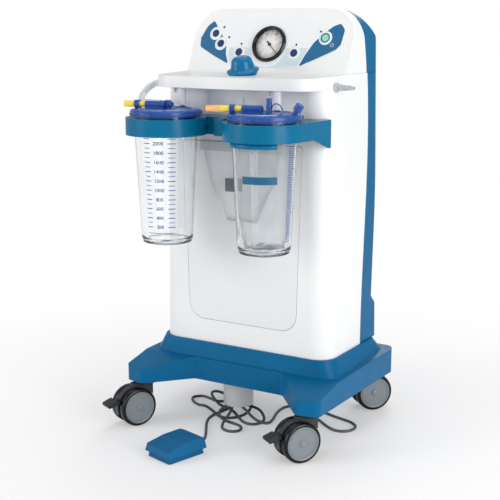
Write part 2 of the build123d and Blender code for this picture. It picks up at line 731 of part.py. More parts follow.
def knob_and_valve():
    dome_edge = FilletPolyline((0, 0, knob_height), (knob_dome_radius - 5, 0, knob_height),
                               (knob_dome_radius, 0, 7), (knob_flange_radius, 0, 3),
                               (knob_flange_radius, 0, 0), (0, 0, 0), radius=[13, 5, 1, 0.5])
    dome = revolve(make_face([dome_edge, Line((0, 0, 0), (0, 0, knob_height))]), Axis.Z)
    groove = Pos(knob_dome_radius + 3.5, 0, knob_height / 2 + 8) * Rot(0, -12, 0) * Cylinder(6.5, knob_height)
    for turn in range(knob_flutes):
        dome -= Rot(0, 0, turn * 360 / knob_flutes) * groove
    dome -= cylinder(4 + running_gap, -1, 18)
    notch = block(knob_flange_radius - 5, knob_flange_radius + 5, -1.2, 1.2, -1, 2.6)
    dome -= Rot(0, 0, -80) * notch
    knob_flange = turned([(9.6, -6), (knob_flange_radius - 4, -6), (knob_flange_radius - 2, -fit_gap),
                          (9.6, -fit_gap)])
    skirt = knob_place() * knob_flange - cabinet_form(0)
    valve = cylinder(4, -fit_gap, 17) + cylinder(9, -15, -fit_gap) + cylinder(12, -22, -15)
    put(knob_place() * dome, "regulator_knob")
    put(solids_of(skirt, knob_place() * valve), "regulator_valve")


def barb(side):
    wall = half_width_at(barb_z)
    low = wall - 16
    steps = barb_radii if side > 0 else barb_radii[:1]
    profile = [(barb_bore, low), (barb_radii[0], low), (barb_radii[0], wall + fit_gap),
               (barb_flange_radius, wall + fit_gap), (barb_flange_radius, wall + 4)]
    reach = wall + 4
    for radius in steps:
        profile += [(radius, reach), (radius, reach + barb_step)]
        reach += barb_step + 1.5
        profile += [(radius - 1.2, reach)]
    profile += [(steps[-1] - 1.6, reach + 4), (barb_bore, reach + 4)]
    return Pos(0, barb_y, barb_z) * Rot(0, side * 90, 0) * turned(profile)


def head_ports():
    nozzles = []
    for side in (-1, 1):
        x, low = side * drop_tube_x - 17, brow_bottom_z
        stem = cylinder(3, low - 4, low + 10, x, drop_tube_y)
        flange = cylinder(5, low - 2, low - fit_gap, x, drop_tube_y)
        nozzles.append(stem + flange + cylinder(2.4, low - 10, low - 4, x, drop_tube_y))
    put(solids_of(barb(-1), barb(1), *nozzles), "head_barbs")
    low = jar_top_z + lid_height + 14.3
    pipes = [tube(drop_tube_radius, drop_tube_wall, low - 11, brow_bottom_z + 12, side * drop_tube_x, drop_tube_y)
             for side in (-1, 1)]
    put(solids_of(*pipes), "drop_tubes")
    bar = Pos(0, barb_y, barb_z) * Rot(0, 90, 0) * Cylinder(7, 2 * (half_width_at(barb_z) - 16 - fit_gap))
    arms = [block(side * drop_tube_x - 21, side * drop_tube_x + 8, drop_tube_y - 5, barb_y,
                  brow_bottom_z + 12 + fit_gap, brow_bottom_z + 18) for side in (-1, 1)]
    put(bar + arms, "vacuum_manifold")


# Hoses and cords are straight runs joined by arcs as large as the runs allow
def route_radii(points):
    vectors = [Vector(*p) for p in points]
    radii = []
    for before, corner, after in zip(vectors, vectors[1:], vectors[2:]):
        turn = math.radians((corner - before).get_angle(after - corner))
        shorter = min((corner - before).length, (after - corner).length)
        radii.append(0.45 * shorter / math.tan(turn / 2))
    return radii


def laid_tube(points, radius, name):
    radii = route_radii(points)
    path = FilletPolyline(*points, radius=radii)
    start = Plane(origin=path @ 0, z_dir=path % 0)
    body = sweep(start * Circle(radius), path=path)
    share = body.volume / (math.pi * radius ** 2 * path.length)
    print(f"{name}: length {path.length:.0f}, smallest radius {min(radii):.1f}, volume share {share:.4f}")
    print("   radii", [round(r) for r in radii])
    return body


def hose_points():
    start = -(half_width_at(barb_z) + 4 + cuff_length)
    spot = Vector(-jar_x + elbow_spot[0], jar_y + elbow_spot[1], elbow_z)
    reach = Vector(1, 0, 0).rotate(Axis.Z, elbow_bearing)
    end, before = spot + elbow_reach * reach, spot + (elbow_reach + 14) * reach
    return ([(start, barb_y, barb_z)] + hose_bends + [tuple(before), tuple(end)])


def clear_hose():
    wall = half_width_at(barb_z) + 4
    cuff = turned([(barb_radii[0] + fit_gap, wall + fit_gap), (cuff_radius, wall + fit_gap),
                   (cuff_radius, wall + cuff_length - 1), (hose_radius, wall + cuff_length), (0, wall + cuff_length),
                   (0, wall + barb_step + 7), (barb_radii[0] + fit_gap, wall + barb_step + 7)])
    cuff = Pos(0, barb_y, barb_z) * Rot(0, -90, 0) * cuff
    put(solids_of(cuff, laid_tube(hose_points(), hose_radius, "clear_hose")), "clear_hose")


# Foot pedal: a base box and a rocking cover on a pin, on the floor
def pedal_place():
    return Pos(*pedal_centre, 0) * Rot(0, 0, pedal_turn)


def pedal():
    half, length, high = pedal_width / 2, pedal_length / 2, pedal_base_height
    base = loft([Pos(0, 0, 0) * RectangleRounded(2 * half, 2 * length, 4),
                 Pos(0, 0, high) * RectangleRounded(2 * half - 2, 2 * length - 4, 4)])
    base -= block(-half + 4, half - 4, -length + 5, length - 5, 3, high + 1)
    pivot_y, pivot_z = length - 8, high - 3
    base -= block(-half + 12.5, half - 12.5, 0, length - 3.6, pivot_z - 4.5, high + 1)
    base += [block(x - 3, x + 3, pivot_y - 6, length - 3, 3, high) for x in (-half + 9, half - 9)]
    pin = Pos(0, pivot_y, pivot_z) * Rot(0, 90, 0) * Cylinder(1.8, 2 * half - 12)
    base += pin
    base += [Pos(0, -length / 2 + 8, 3 + 4) * Cylinder(7, 8)]
    rim = fit_gap + 2.6
    low = high - 4
    cover = loft([Pos(0, 0, low) * RectangleRounded(2 * half + 2 * rim + 4, 2 * length + 2 * rim + 4, 5),
                  Pos(0, 0, pedal_cover_height + 6) * RectangleRounded(2 * half - 2, 2 * length, 5)])
    wedge = Plane.YZ * make_face(Polyline((-length - 12, low), (-length - 12, low + 11), (-4, pedal_cover_height),
                                          (length - 8, pedal_cover_height + 1), (length + 12, low + 15),
                                          (length + 12, low), close=True))
    cover &= extrude(Pos(-half - 20, 0, 0) * wedge, 2 * half + 40)
    inner = loft([Pos(0, 0, low - 1) * RectangleRounded(2 * half + 2 * fit_gap + 5, 2 * length + 2 * fit_gap + 5, 4),
                  Pos(0, 0, pedal_cover_height + 2) * RectangleRounded(2 * half - 8, 2 * length - 6, 4)])
    inner_wedge = Plane.YZ * make_face(Polyline((-length - 12, low - 2), (-length - 12, low + 8),
                                                (-4, pedal_cover_height - 3), (length - 8, pedal_cover_height - 2),
                                                (length + 12, low + 12), (length + 12, low - 2), close=True))
    cover -= inner & extrude(Pos(-half - 20, 0, 0) * inner_wedge, 2 * half + 40)
    knuckle = Pos(0, pivot_y, pivot_z)
    ears = block(-half + 14, half - 14, pivot_y - 3.2, pivot_y + 3.2, pivot_z - 3, pedal_cover_height - 2)
    cover += ears - knuckle * Rot(0, 90, 0) * Cylinder(1.8 + running_gap, 100)
    gland = block(-9, 9, length, length + 14, 3, 11)
    cover -= block(-9 - 1.5, 9 + 1.5, length - 6, length + 30, 0, 12.5)
    gland = fillet(gland.edges().filter_by(Axis.Y), 2)
    put(pedal_place() * base, "pedal_base")
    put(pedal_place() * cover, "pedal_cover")
    put(pedal_place() * gland, "pedal_strain_relief")


def cord_exit(offset):
    start = pedal_place() * Pos(0, pedal_length / 2 + 14 + offset, cord_rest_z + 3)
    return tuple(start.position)


def cords():
    first = [cord_exit(0), cord_exit(18)] + front_cord
    second = rear_cord + [(cord_gland_x, cord_gland_y, 52), (cord_gland_x, cord_gland_y, 74)]
    bundle = loft([Pos(0, 0, 0.2) * Ellipse(bundle_half_length - 8, bundle_half_width - 8),
                   Pos(0, 0, bundle_height / 2) * Ellipse(bundle_half_length, bundle_half_width),
                   Pos(0, 0, bundle_height) * Ellipse(bundle_half_length - 8, bundle_half_width - 8)])
    bundle = Pos(*bundle_centre, 0) * Rot(0, 0, bundle_turn) * bundle
    put(bundle, "cord_hank")
    put(laid_tube(first, cord_radius, "front cord") - bundle, "cord_front_run")
    put(laid_tube(second, cord_radius, "rear cord") - bundle, "cord_rear_run")
    put(Pos(cord_gland_x, cord_gland_y, 0) * turned([(0, 74), (3.8, 74), (6.2, base_bottom_z - 3),
                                                     (9, base_bottom_z - 3), (9, base_bottom_z - fit_gap),
                                                     (0, base_bottom_z - fit_gap)]), "cord_gland")


# Inside: chassis, vacuum pump on rubber mounts, fan, board and mains inlet
def internals():
    floor = shell_bottom_z + shell_wall
    chassis = block(-150, 150, -70, 60, floor + fit_gap, floor + fit_gap + chassis_thickness)
    chassis += block(-150, 150, -70, -70 + chassis_thickness, floor + fit_gap, floor + 70)
    deck = floor + fit_gap + chassis_thickness
    spots = [(x, y) for x in (-70, 70) for y in (-35, 35)]
    put(solids_of(*[cylinder(9, deck, deck + 14, x, y) for x, y in spots]), "pump_mounts")
    plate = block(-90, 90, -48, 48, deck + 14, deck + 18)
    axis_z = deck + 18 + motor_radius
    motor = Pos(0, 0, axis_z) * Rot(0, 90, 0) * Cylinder(motor_radius, motor_length)
    shaft = Pos(motor_length / 2 + 14, 0, axis_z) * Rot(0, 90, 0) * Cylinder(4, 28)
    heads = [block(x - 17, x + 17, -17, 17, axis_z + motor_radius - 12, axis_z + motor_radius + 40)
             for x in (-35, 35)]
    foot = block(-50, 50, -30, 30, deck + 17, axis_z)
    put(motor + plate + foot + shaft + heads, "vacuum_pump")
    hub = Cylinder(10, 14)
    blades = [Rot(0, 0, turn * 360 / 7) * Pos(24, 0, 0) * Rot(30, 0, 0) * Box(32, 2, 14) for turn in range(7)]
    fan = (hub + blades) - Cylinder(4 + running_gap, 40)
    put(Pos(motor_length / 2 + 18, 0, axis_z) * Rot(0, 90, 0) * fan, "motor_fan")
    put(chassis, "chassis")
    half = inlet_width / 2
    body = block(-half, half, rear_foot_y - 26, rear_foot_y + 1, inlet_z - inlet_height / 2, inlet_z + inlet_height / 2)
    body -= block(-half + 3, half - 3, rear_foot_y - 16, rear_foot_y + 2, inlet_z - inlet_height / 2 + 22,
                  inlet_z + inlet_height / 2 - 4)
    put(body, "mains_inlet")


def carrier_bracket():
    half = dish_top_half_width + 4
    plate = block(-half, half, front_y - 3, front_y, dish_top_z, ring_bottom_z - wing_drop - fit_gap)
    return plate


def exhaust_cowl():
    cowl = turned([(cowl_radius - 2, cowl_low_z), (cowl_radius, cowl_low_z), (cowl_radius, base_bottom_z - fit_gap),
                   (cowl_radius - 2, base_bottom_z - fit_gap)])
    return Pos(*cowl_spot, 0) * cowl


def build_all():
    skin = cabinet_form(0) - cabinet_form(shell_wall)
    put(front_shell(skin), "front_shell")
    put(rear_cover(skin), "rear_cover")
    panel, latch = service_panel()
    put(panel, "service_panel")
    put(latch, "panel_latch")
    put(carrier_bracket(), "carrier_bracket")
    put(base_moulding(), "base_moulding")
    for name in swivel_angles:
        caster(name)
    put(jar_carrier(), "jar_carrier")
    for side, word in ((-1, "left"), (1, "right")):
        put(jar(side), f"{word}_jar")
        connector, collar = patient_port(side)
        fittings = [collar, elbow()] if side < 0 else [collar]
        put(solids_of(lid(side), *fittings), f"{word}_lid")
        put(connector, f"{word}_patient_port")
    put(liner_bag(), "liner_bag")
    put(spout_cap(), "spout_cap")
    put(overlay(), "control_overlay")
    gauge()
    buttons()
    put(control_board(), "control_board")
    knob_and_valve()
    head_ports()
    clear_hose()
    pedal()
    cords()
    internals()
    put(exhaust_cowl(), "exhaust_cowl")


def export_all():
    boxes = [part.bounding_box() for name, part in pieces.items() if name not in cord_nodes]
    middle_x = (min(b.min.X for b in boxes) + max(b.max.X for b in boxes)) / 2
    middle_y = (min(b.min.Y for b in boxes) + max(b.max.Y for b in boxes)) / 2
    os.makedirs("parts", exist_ok=True)
    for name, part in pieces.items():
        export_step(Pos(-middle_x, -middle_y, 0) * part, f"parts/{name}.step")
    print(f"moved by {-middle_x:.4f} {-middle_y:.4f}, {len(pieces)} nodes")


pieces = {}
cord_nodes = ["cord_front_run", "cord_hank", "cord_rear_run"]
build_all()
export_all()
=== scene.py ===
import math

import bmesh
import bpy
from mathutils import Matrix, Vector, noise

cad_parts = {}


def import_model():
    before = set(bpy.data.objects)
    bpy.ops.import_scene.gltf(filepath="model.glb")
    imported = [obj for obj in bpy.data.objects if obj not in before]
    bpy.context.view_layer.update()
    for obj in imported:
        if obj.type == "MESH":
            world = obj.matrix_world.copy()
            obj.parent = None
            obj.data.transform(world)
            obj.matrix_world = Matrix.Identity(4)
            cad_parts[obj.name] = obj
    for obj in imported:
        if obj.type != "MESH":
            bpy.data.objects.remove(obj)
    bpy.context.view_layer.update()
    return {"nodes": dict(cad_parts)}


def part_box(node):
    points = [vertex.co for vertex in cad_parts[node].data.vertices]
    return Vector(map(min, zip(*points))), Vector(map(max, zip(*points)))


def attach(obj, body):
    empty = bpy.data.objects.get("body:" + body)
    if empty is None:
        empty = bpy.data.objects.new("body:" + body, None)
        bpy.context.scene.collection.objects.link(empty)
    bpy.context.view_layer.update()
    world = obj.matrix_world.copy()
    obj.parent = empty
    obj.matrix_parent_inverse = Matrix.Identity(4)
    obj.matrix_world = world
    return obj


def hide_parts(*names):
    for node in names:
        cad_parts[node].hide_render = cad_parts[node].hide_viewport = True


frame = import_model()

# A vacuum aspirator on a trolley. Pieces are written in millimetres about the cabinet's
# middle plane, as the part's source is, and are moved into the frame by shift.
base_low, base_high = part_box("base_moulding")
shift = Vector(((base_low.x + base_high.x) / 2, base_high.y - 0.150, 0))

JAR_X, JAR_Y = 110.5, -205.0
JAR_TOP, JAR_BOTTOM = 648.0, 402.0
JAR_TOP_RADIUS, JAR_FOOT_RADIUS = 62.5, 50.0
JAR_MEAN_RADIUS = 56.0
LID_TOP = 660.0
SHELL_WALL_X = -189.72
HOSE_Z = 703.0
PEDAL_CENTRE = (-33.0, -297.5)
PEDAL_TURN = math.radians(-16.0)
PORT_BEARING = math.radians(198.0)
FACE_SLOPE = math.radians(22.4)
FACE_ORIGIN = Vector((0, 3.675, 781.0))
FACE_UP = Vector((0, math.sin(FACE_SLOPE), math.cos(FACE_SLOPE)))
FACE_OUT = Vector((0, -math.cos(FACE_SLOPE), math.sin(FACE_SLOPE)))
OVERLAY_TOP = 0.9


def at(*point):
    """A point in the cabinet's millimetres, in the frame's metres."""
    return Vector(point) / 1000 + shift


def on_face(u, v, w=0.0):
    return FACE_ORIGIN + Vector((u, 0, 0)) + FACE_UP * v + FACE_OUT * w


def placed(origin, x_dir, y_dir):
    """The matrix of a small drawing plane, in metres, at a point given in millimetres."""
    x, y = x_dir.normalized(), y_dir.normalized()
    z = x.cross(y)
    matrix = Matrix((x, y, z)).transposed().to_4x4()
    matrix.translation = at(*origin)
    return matrix


def linear(value):
    return value / 12.92 if value <= 0.04045 else ((value + 0.055) / 1.055) ** 2.4


def colour(r, g, b):
    """A colour written as 0 to 255 screen values."""
    return tuple(linear(v / 255) for v in (r, g, b)) + (1.0,)


# Materials
BLOTCH_SCALE = 7.0
WEAR_SCALE = 26.0
GRAIN_DEPTH = 0.0004
RIPPLE_DEPTH = 0.001


def link(tree, source, target):
    tree.links.new(source, target)


def noise_node(tree, scale, detail=3.0, rough=0.55, distortion=0.0, stretch=None):
    coordinates = tree.nodes.new("ShaderNodeTexCoord")
    texture = tree.nodes.new("ShaderNodeTexNoise")
    texture.inputs["Scale"].default_value = scale
    texture.inputs["Detail"].default_value = detail
    texture.inputs["Roughness"].default_value = rough
    texture.inputs["Distortion"].default_value = distortion
    source = coordinates.outputs["Object"]
    if stretch:
        mapping = tree.nodes.new("ShaderNodeMapping")
        mapping.inputs["Scale"].default_value = stretch
        link(tree, source, mapping.inputs["Vector"])
        source = mapping.outputs["Vector"]
    link(tree, source, texture.inputs["Vector"])
    return texture


def ramp_between(tree, source, low, high, start=0.35, end=0.65):
    ramp = tree.nodes.new("ShaderNodeValToRGB")
    ramp.color_ramp.elements[0].position, ramp.color_ramp.elements[1].position = start, end
    ramp.color_ramp.elements[0].color, ramp.color_ramp.elements[1].color = low, high
    link(tree, source, ramp.inputs["Fac"])
    return ramp


def shaded(colour_value, factor):
    return tuple(min(1.0, c * factor) for c in colour_value[:3]) + (1.0,)


def moulded(name, rgb, rough, spread, grain, bump, mottle, bevel=0.0, metal=0.0, shine=0.5):
    """A moulded surface: slight colour drift, worn patches in the gloss, a fine moulded grain."""
    base = colour(*rgb)
    made = bpy.data.materials.new(name)
    made.use_nodes = True
    tree = made.node_tree
    shader = tree.nodes["Principled BSDF"]
    shader.inputs["Metallic"].default_value = metal
    shader.inputs["Specular IOR Level"].default_value = shine
    drift = noise_node(tree, BLOTCH_SCALE, 4.0)
    tint = ramp_between(tree, drift.outputs["Fac"], shaded(base, 1 - mottle), shaded(base, 1 + mottle))
    link(tree, tint.outputs["Color"], shader.inputs["Base Color"])
    wear = noise_node(tree, WEAR_SCALE, 5.0)
    gloss = tree.nodes.new("ShaderNodeMapRange")
    gloss.inputs["From Min"].default_value, gloss.inputs["From Max"].default_value = 0.3, 0.7
    gloss.inputs["To Min"].default_value = max(0.02, rough - spread)
    gloss.inputs["To Max"].default_value = rough + spread
    link(tree, wear.outputs["Fac"], gloss.inputs["Value"])
    link(tree, gloss.outputs["Result"], shader.inputs["Roughness"])
    fine = noise_node(tree, grain, 2.0)
    relief = tree.nodes.new("ShaderNodeBump")
    relief.inputs["Strength"].default_value = bump
    relief.inputs["Distance"].default_value = GRAIN_DEPTH
    link(tree, fine.outputs["Fac"], relief.inputs["Height"])
    if bevel:
        rounding = tree.nodes.new("ShaderNodeBevel")
        rounding.samples = 4
        rounding.inputs["Radius"].default_value = bevel
        link(tree, rounding.outputs["Normal"], relief.inputs["Normal"])
    link(tree, relief.outputs["Normal"], shader.inputs["Normal"])
    return made


def clear(name, base, rough, transmission, index, bump, ripple=60.0):
    """Clear or milky plastic with faint moulding ripples."""
    made = bpy.data.materials.new(name)
    made.use_nodes = True
    tree = made.node_tree
    shader = tree.nodes["Principled BSDF"]
    shader.inputs["Transmission Weight"].default_value = transmission
    shader.inputs["IOR"].default_value = index
    drift = noise_node(tree, 12.0, 3.0)
    tint = ramp_between(tree, drift.outputs["Fac"], shaded(base, 0.97), shaded(base, 1.02))
    link(tree, tint.outputs["Color"], shader.inputs["Base Color"])
    haze = tree.nodes.new("ShaderNodeMapRange")
    haze.inputs["To Min"].default_value, haze.inputs["To Max"].default_value = rough * 0.7, rough * 1.4
    link(tree, drift.outputs["Fac"], haze.inputs["Value"])
    link(tree, haze.outputs["Result"], shader.inputs["Roughness"])
    waves = noise_node(tree, ripple, 3.0, stretch=(1, 1, 0.25))
    relief = tree.nodes.new("ShaderNodeBump")
    relief.inputs["Strength"].default_value = bump
    relief.inputs["Distance"].default_value = RIPPLE_DEPTH
    link(tree, waves.outputs["Fac"], relief.inputs["Height"])
    link(tree, relief.outputs["Normal"], shader.inputs["Normal"])
    return made


# Each row: name, screen colour, roughness and its spread, grain scale, grain strength, colour drift
WHITE = moulded("white_plastic_shell", (240, 241, 241), 0.34, 0.05, 1400, 0.03, 0.012, bevel=0.0012)
PANEL_WHITE = moulded("white_plastic_panel", (235, 236, 238), 0.38, 0.05, 1400, 0.03, 0.012, bevel=0.001)
BLUE = moulded("blue_plastic_base", (0, 99, 146), 0.34, 0.06, 1100, 0.05, 0.06, bevel=0.0016, shine=0.14)
TEAL = moulded("teal_plastic_carrier", (0, 108, 148), 0.28, 0.05, 1000, 0.04, 0.06, bevel=0.0014, shine=0.2)
KNOB = moulded("blue_plastic_knob", (0, 110, 158), 0.24, 0.05, 900, 0.04, 0.05, bevel=0.0008, shine=0.3)
PEDAL = moulded("blue_plastic_pedal", (0, 98, 146), 0.50, 0.06, 420, 0.55, 0.07, bevel=0.0012, shine=0.25)
LID = moulded("lid_plastic_blue", (40, 92, 178), 0.28, 0.05, 900, 0.03, 0.05, bevel=0.0007)
LID.node_tree.nodes["Principled BSDF"].inputs["Transmission Weight"].default_value = 0.25
YELLOW = moulded("port_plastic_yellow", (255, 226, 84), 0.25, 0.05, 900, 0.04, 0.05)
ORANGE = moulded("port_plastic_orange", (250, 190, 124), 0.28, 0.05, 900, 0.05, 0.06)
OVERLAY = moulded("overlay_film_pale", (236, 240, 243), 0.42, 0.04, 1800, 0.05, 0.01)
TINT = moulded("overlay_film_tinted", (208, 221, 227), 0.42, 0.04, 1800, 0.05, 0.01)
FIELD = moulded("overlay_film_blue", (18, 100, 146), 0.40, 0.05, 1800, 0.06, 0.03)
BUTTON = moulded("button_film_blue", (2, 48, 104), 0.38, 0.05, 1500, 0.05, 0.04)
GREEN = moulded("button_film_green", (132, 220, 202), 0.40, 0.05, 1500, 0.05, 0.03)
PRINT_WHITE = moulded("printed_ink_white", (226, 232, 238), 0.5, 0.04, 1600, 0.05, 0.01)
PRINT_BLUE = moulded("printed_ink_blue", (0, 66, 160), 0.5, 0.05, 1600, 0.05, 0.05, shine=0.1)
PRINT_TEAL = moulded("printed_ink_teal", (0, 92, 128), 0.5, 0.05, 1600, 0.05, 0.03)
PRINT_BLACK = moulded("printed_ink_black", (24, 24, 28), 0.5, 0.05, 1600, 0.05, 0.05)
PRINT_RED = moulded("printed_ink_red", (206, 62, 62), 0.5, 0.05, 1600, 0.05, 0.05)
DIAL = moulded("dial_plate_pale", (238, 238, 236), 0.5, 0.05, 1200, 0.02, 0.015)
RING = moulded("button_ring_pale", (236, 238, 240), 0.32, 0.04, 1200, 0.03, 0.01)
GLOSS_BLACK = moulded("gloss_plastic_black", (16, 16, 18), 0.16, 0.05, 900, 0.02, 0.1, bevel=0.0006)
LENS_BLACK = moulded("lens_dark", (14, 14, 22), 0.12, 0.04, 900, 0.02, 0.1)
TYRE = moulded("tyre_rubber_black", (6, 6, 7), 0.30, 0.08, 700, 0.06, 0.10, bevel=0.0008, shine=0.35)
DISC = moulded("wheel_disc_grey", (128, 136, 142), 0.36, 0.06, 900, 0.05, 0.05, bevel=0.0008)
HOOD = moulded("caster_hood_grey", (48, 51, 56), 0.4, 0.06, 900, 0.05, 0.05, bevel=0.001)
MATTE_BLACK = moulded("matte_plastic_black", (28, 30, 33), 0.45, 0.07, 700, 0.08, 0.08, bevel=0.0008)
# The carrier bracket is a real grey plate; its darker grey also paints in the shade the carrier casts on
# the white body below it.
BRACKET_GREY_AND_SHADE = moulded("bracket_grey_with_painted_shade", (206, 210, 212), 0.5, 0.06, 900, 0.08, 0.03, bevel=0.0006)
LATCH = moulded("latch_plastic_grey", (104, 120, 123), 0.46, 0.06, 900, 0.08, 0.04, bevel=0.0006)
SOFT_WHITE = moulded("port_plastic_white", (232, 233, 234), 0.3, 0.05, 1200, 0.03, 0.015, bevel=0.0004)
BARB = moulded("barb_plastic_grey", (196, 199, 203), 0.28, 0.05, 1200, 0.03, 0.03, bevel=0.0004)
CORD = moulded("cord_sheath_grey", (88, 94, 102), 0.5, 0.06, 600, 0.12, 0.08)
STEEL = moulded("zinc_steel", (176, 178, 180), 0.35, 0.12, 400, 0.10, 0.06, metal=1.0)
CAST = moulded("cast_aluminium", (150, 152, 154), 0.48, 0.10, 260, 0.30, 0.06, metal=1.0)
RUBBER = moulded("mount_rubber", (30, 30, 32), 0.6, 0.08, 500, 0.12, 0.08)
BOARD = moulded("circuit_board", (30, 96, 60), 0.4, 0.05, 700, 0.06, 0.08)
# Each row: name, colour, roughness, transmission, refraction, ripple strength and scale
JAR = clear("jar_clear_plastic", (0.96, 0.975, 0.985, 1), 0.03, 1.0, 1.42, 0.05)
LENS = clear("gauge_clear_lens", (0.98, 0.98, 0.98, 1), 0.01, 1.0, 1.2, 0.0)
HOSE = clear("hose_milky_silicone", colour(232, 235, 238), 0.20, 0.22, 1.35, 0.08, 40.0)
FILM = clear("bag_clear_film", (0.97, 0.98, 0.99, 1), 0.05, 0.97, 1.14, 0.30, 55.0)

finishes = {
    "front_shell": WHITE, "service_panel": PANEL_WHITE, "rear_cover": BLUE, "base_moulding": BLUE,
    "jar_carrier": TEAL, "carrier_bracket": BRACKET_GREY_AND_SHADE, "panel_latch": LATCH, "left_jar": JAR,
    "right_jar": JAR, "left_lid": LID, "right_lid": LID, "spout_cap": LID, "left_patient_port": YELLOW,
    "right_patient_port": YELLOW, "liner_bag": FILM, "control_overlay": OVERLAY,
    "gauge_case": GLOSS_BLACK, "gauge_needle": PRINT_BLACK, "gauge_lens": LENS, "button_collars": RING,
    "indicator_lenses": LENS_BLACK, "control_board": BOARD, "regulator_knob": KNOB,
    "regulator_valve": KNOB, "head_barbs": BARB, "drop_tubes": SOFT_WHITE,
    "vacuum_manifold": SOFT_WHITE, "clear_hose": HOSE, "pedal_base": PEDAL, "pedal_cover": PEDAL,
    "pedal_strain_relief": CORD, "cord_hank": CORD, "cord_front_run": CORD, "cord_rear_run": CORD,
    "cord_gland": MATTE_BLACK, "pump_mounts": RUBBER, "vacuum_pump": CAST, "motor_fan": MATTE_BLACK,
    "chassis": STEEL, "mains_inlet": MATTE_BLACK, "exhaust_cowl": SOFT_WHITE, "power_button": GREEN,
}
finishes_by_start = {"tyres": TYRE, "wheel_discs": DISC, "caster": HOOD, "brake": MATTE_BLACK}


def finish_of(name):
    if name in finishes:
        return finishes[name]
    for start, finish in finishes_by_start.items():
        if name.startswith(start):
            return finish
    return BUTTON


for node_name, node in frame["nodes"].items():
    node.data.materials.clear()
    node.data.materials.append(finish_of(node_name))


# Building pieces
CAP_SHARE = 0.7
INK_DEPTH = 0.12


def finish_piece(piece, material, body, smooth=True):
    piece.data.materials.append(material)
    if smooth and piece.type == "MESH":
        for polygon in piece.data.polygons:
            polygon.use_smooth = True
    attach(piece, body)
    return piece


def from_mesh(name, vertices, faces, material, body="root"):
    data = bpy.data.meshes.new(name)
    data.from_pydata([tuple(v) for v in vertices], [], faces)
    data.validate()
    piece = bpy.data.objects.new(name, data)
    bpy.context.scene.collection.objects.link(piece)
    return finish_piece(piece, material, body)


def lathe(name, profile, matrix, material, body="root", segments=48, closed=False,
          arc=2 * math.pi, start=0.0):
    """Turns (radius, height) points, in millimetres, about the matrix's z."""
    full = arc >= 2 * math.pi - 1e-6
    count = segments if full else segments + 1
    vertices, faces = [], []
    for i in range(count):
        angle = start + arc * i / segments
        for r, z in profile:
            spot = Vector((r * math.cos(angle) / 1000, r * math.sin(angle) / 1000, z / 1000))
            vertices.append(matrix @ spot)
    n = len(profile)
    rows = n if closed else n - 1
    for i in range(segments):
        j = (i + 1) % count
        for k in range(rows):
            m = (k + 1) % n
            faces.append((i * n + k, j * n + k, j * n + m, i * n + m))
    if not full and closed:
        faces.append(tuple(range(n))[::-1])
        faces.append(tuple((count - 1) * n + k for k in range(n)))
    return from_mesh(name, vertices, faces, material, body)


def soft_edges(piece, width):
    rounding = piece.modifiers.new("rounding", "BEVEL")
    rounding.width = width / 1000
    rounding.segments = 2
    rounding.limit_method = "ANGLE"
    rounding.angle_limit = math.radians(35)


def to_mesh(piece):
    """Turns a curve or text object into a plain mesh object of the same name."""
    bpy.context.view_layer.update()
    evaluated = piece.evaluated_get(bpy.context.evaluated_depsgraph_get())
    data = bpy.data.meshes.new_from_object(evaluated)
    name, matrix = piece.name, piece.matrix_world.copy()
    bpy.data.objects.remove(piece)
    made = bpy.data.objects.new(name, data)
    bpy.context.scene.collection.objects.link(made)
    made.data.transform(matrix)
    made.data.materials.clear()
    return made


def flat_plate(name, outlines, matrix, depth, material):
    """A thin plate from closed outlines in millimetres; outlines inside another are its holes."""
    data = bpy.data.curves.new(name, "CURVE")
    data.dimensions = "2D"
    data.fill_mode = "BOTH"
    data.extrude = depth / 2000
    for points in outlines:
        line = data.splines.new("POLY")
        line.points.add(len(points) - 1)
        for spot, (x, y) in zip(line.points, points):
            spot.co = (x / 1000, y / 1000, 0, 1)
        line.use_cyclic_u = True
    piece = bpy.data.objects.new(name, data)
    bpy.context.scene.collection.objects.link(piece)
    piece.matrix_world = matrix
    return finish_piece(to_mesh(piece), material, "root", smooth=False)


def words(text, size, matrix, bold=0.0):
    """Plain numbers as a thin mesh, in the plane of the matrix, size millimetres high."""
    data = bpy.data.curves.new("number", "FONT")
    data.body = text
    data.offset = bold / 1000
    data.size = size / 1000 / CAP_SHARE
    data.align_x, data.align_y = "CENTER", "CENTER"
    data.extrude = INK_DEPTH / 2000
    data.resolution_u = 3
    piece = bpy.data.objects.new("number", data)
    bpy.context.scene.collection.objects.link(piece)
    piece.matrix_world = matrix
    return to_mesh(piece)


def join(name, parts):
    """Joins mesh objects that share one material into one."""
    work = bmesh.new()
    for part in parts:
        work.from_mesh(part.data)
    data = bpy.data.meshes.new(name)
    work.to_mesh(data)
    work.free()
    for part in parts:
        bpy.data.objects.remove(part)
    made = bpy.data.objects.new(name, data)
    bpy.context.scene.collection.objects.link(made)
    return made


def rounded(points, radius, steps=6):
    """A closed outline with its corners rounded; radius is one number or one for each corner."""
    radii = radius if isinstance(radius, (list, tuple)) else [radius] * len(points)
    made = []
    for i, corner in enumerate(points):
        corner = Vector(corner)
        before, after = Vector(points[i - 1]) - corner, Vector(points[(i + 1) % len(points)]) - corner
        turn = before.angle(after)
        reach = min(radii[i] / math.tan(turn / 2), 0.48 * before.length, 0.48 * after.length)
        start, end = corner + before.normalized() * reach, corner + after.normalized() * reach
        for k in range(steps + 1):
            t = k / steps
            made.append(tuple((1 - t) ** 2 * start + 2 * t * (1 - t) * corner + t * t * end))
    return made


def circle(x, y, radius, count=40):
    turns = [2 * math.pi * i / count for i in range(count)]
    return [(x + radius * math.cos(turn), y + radius * math.sin(turn)) for turn in turns]


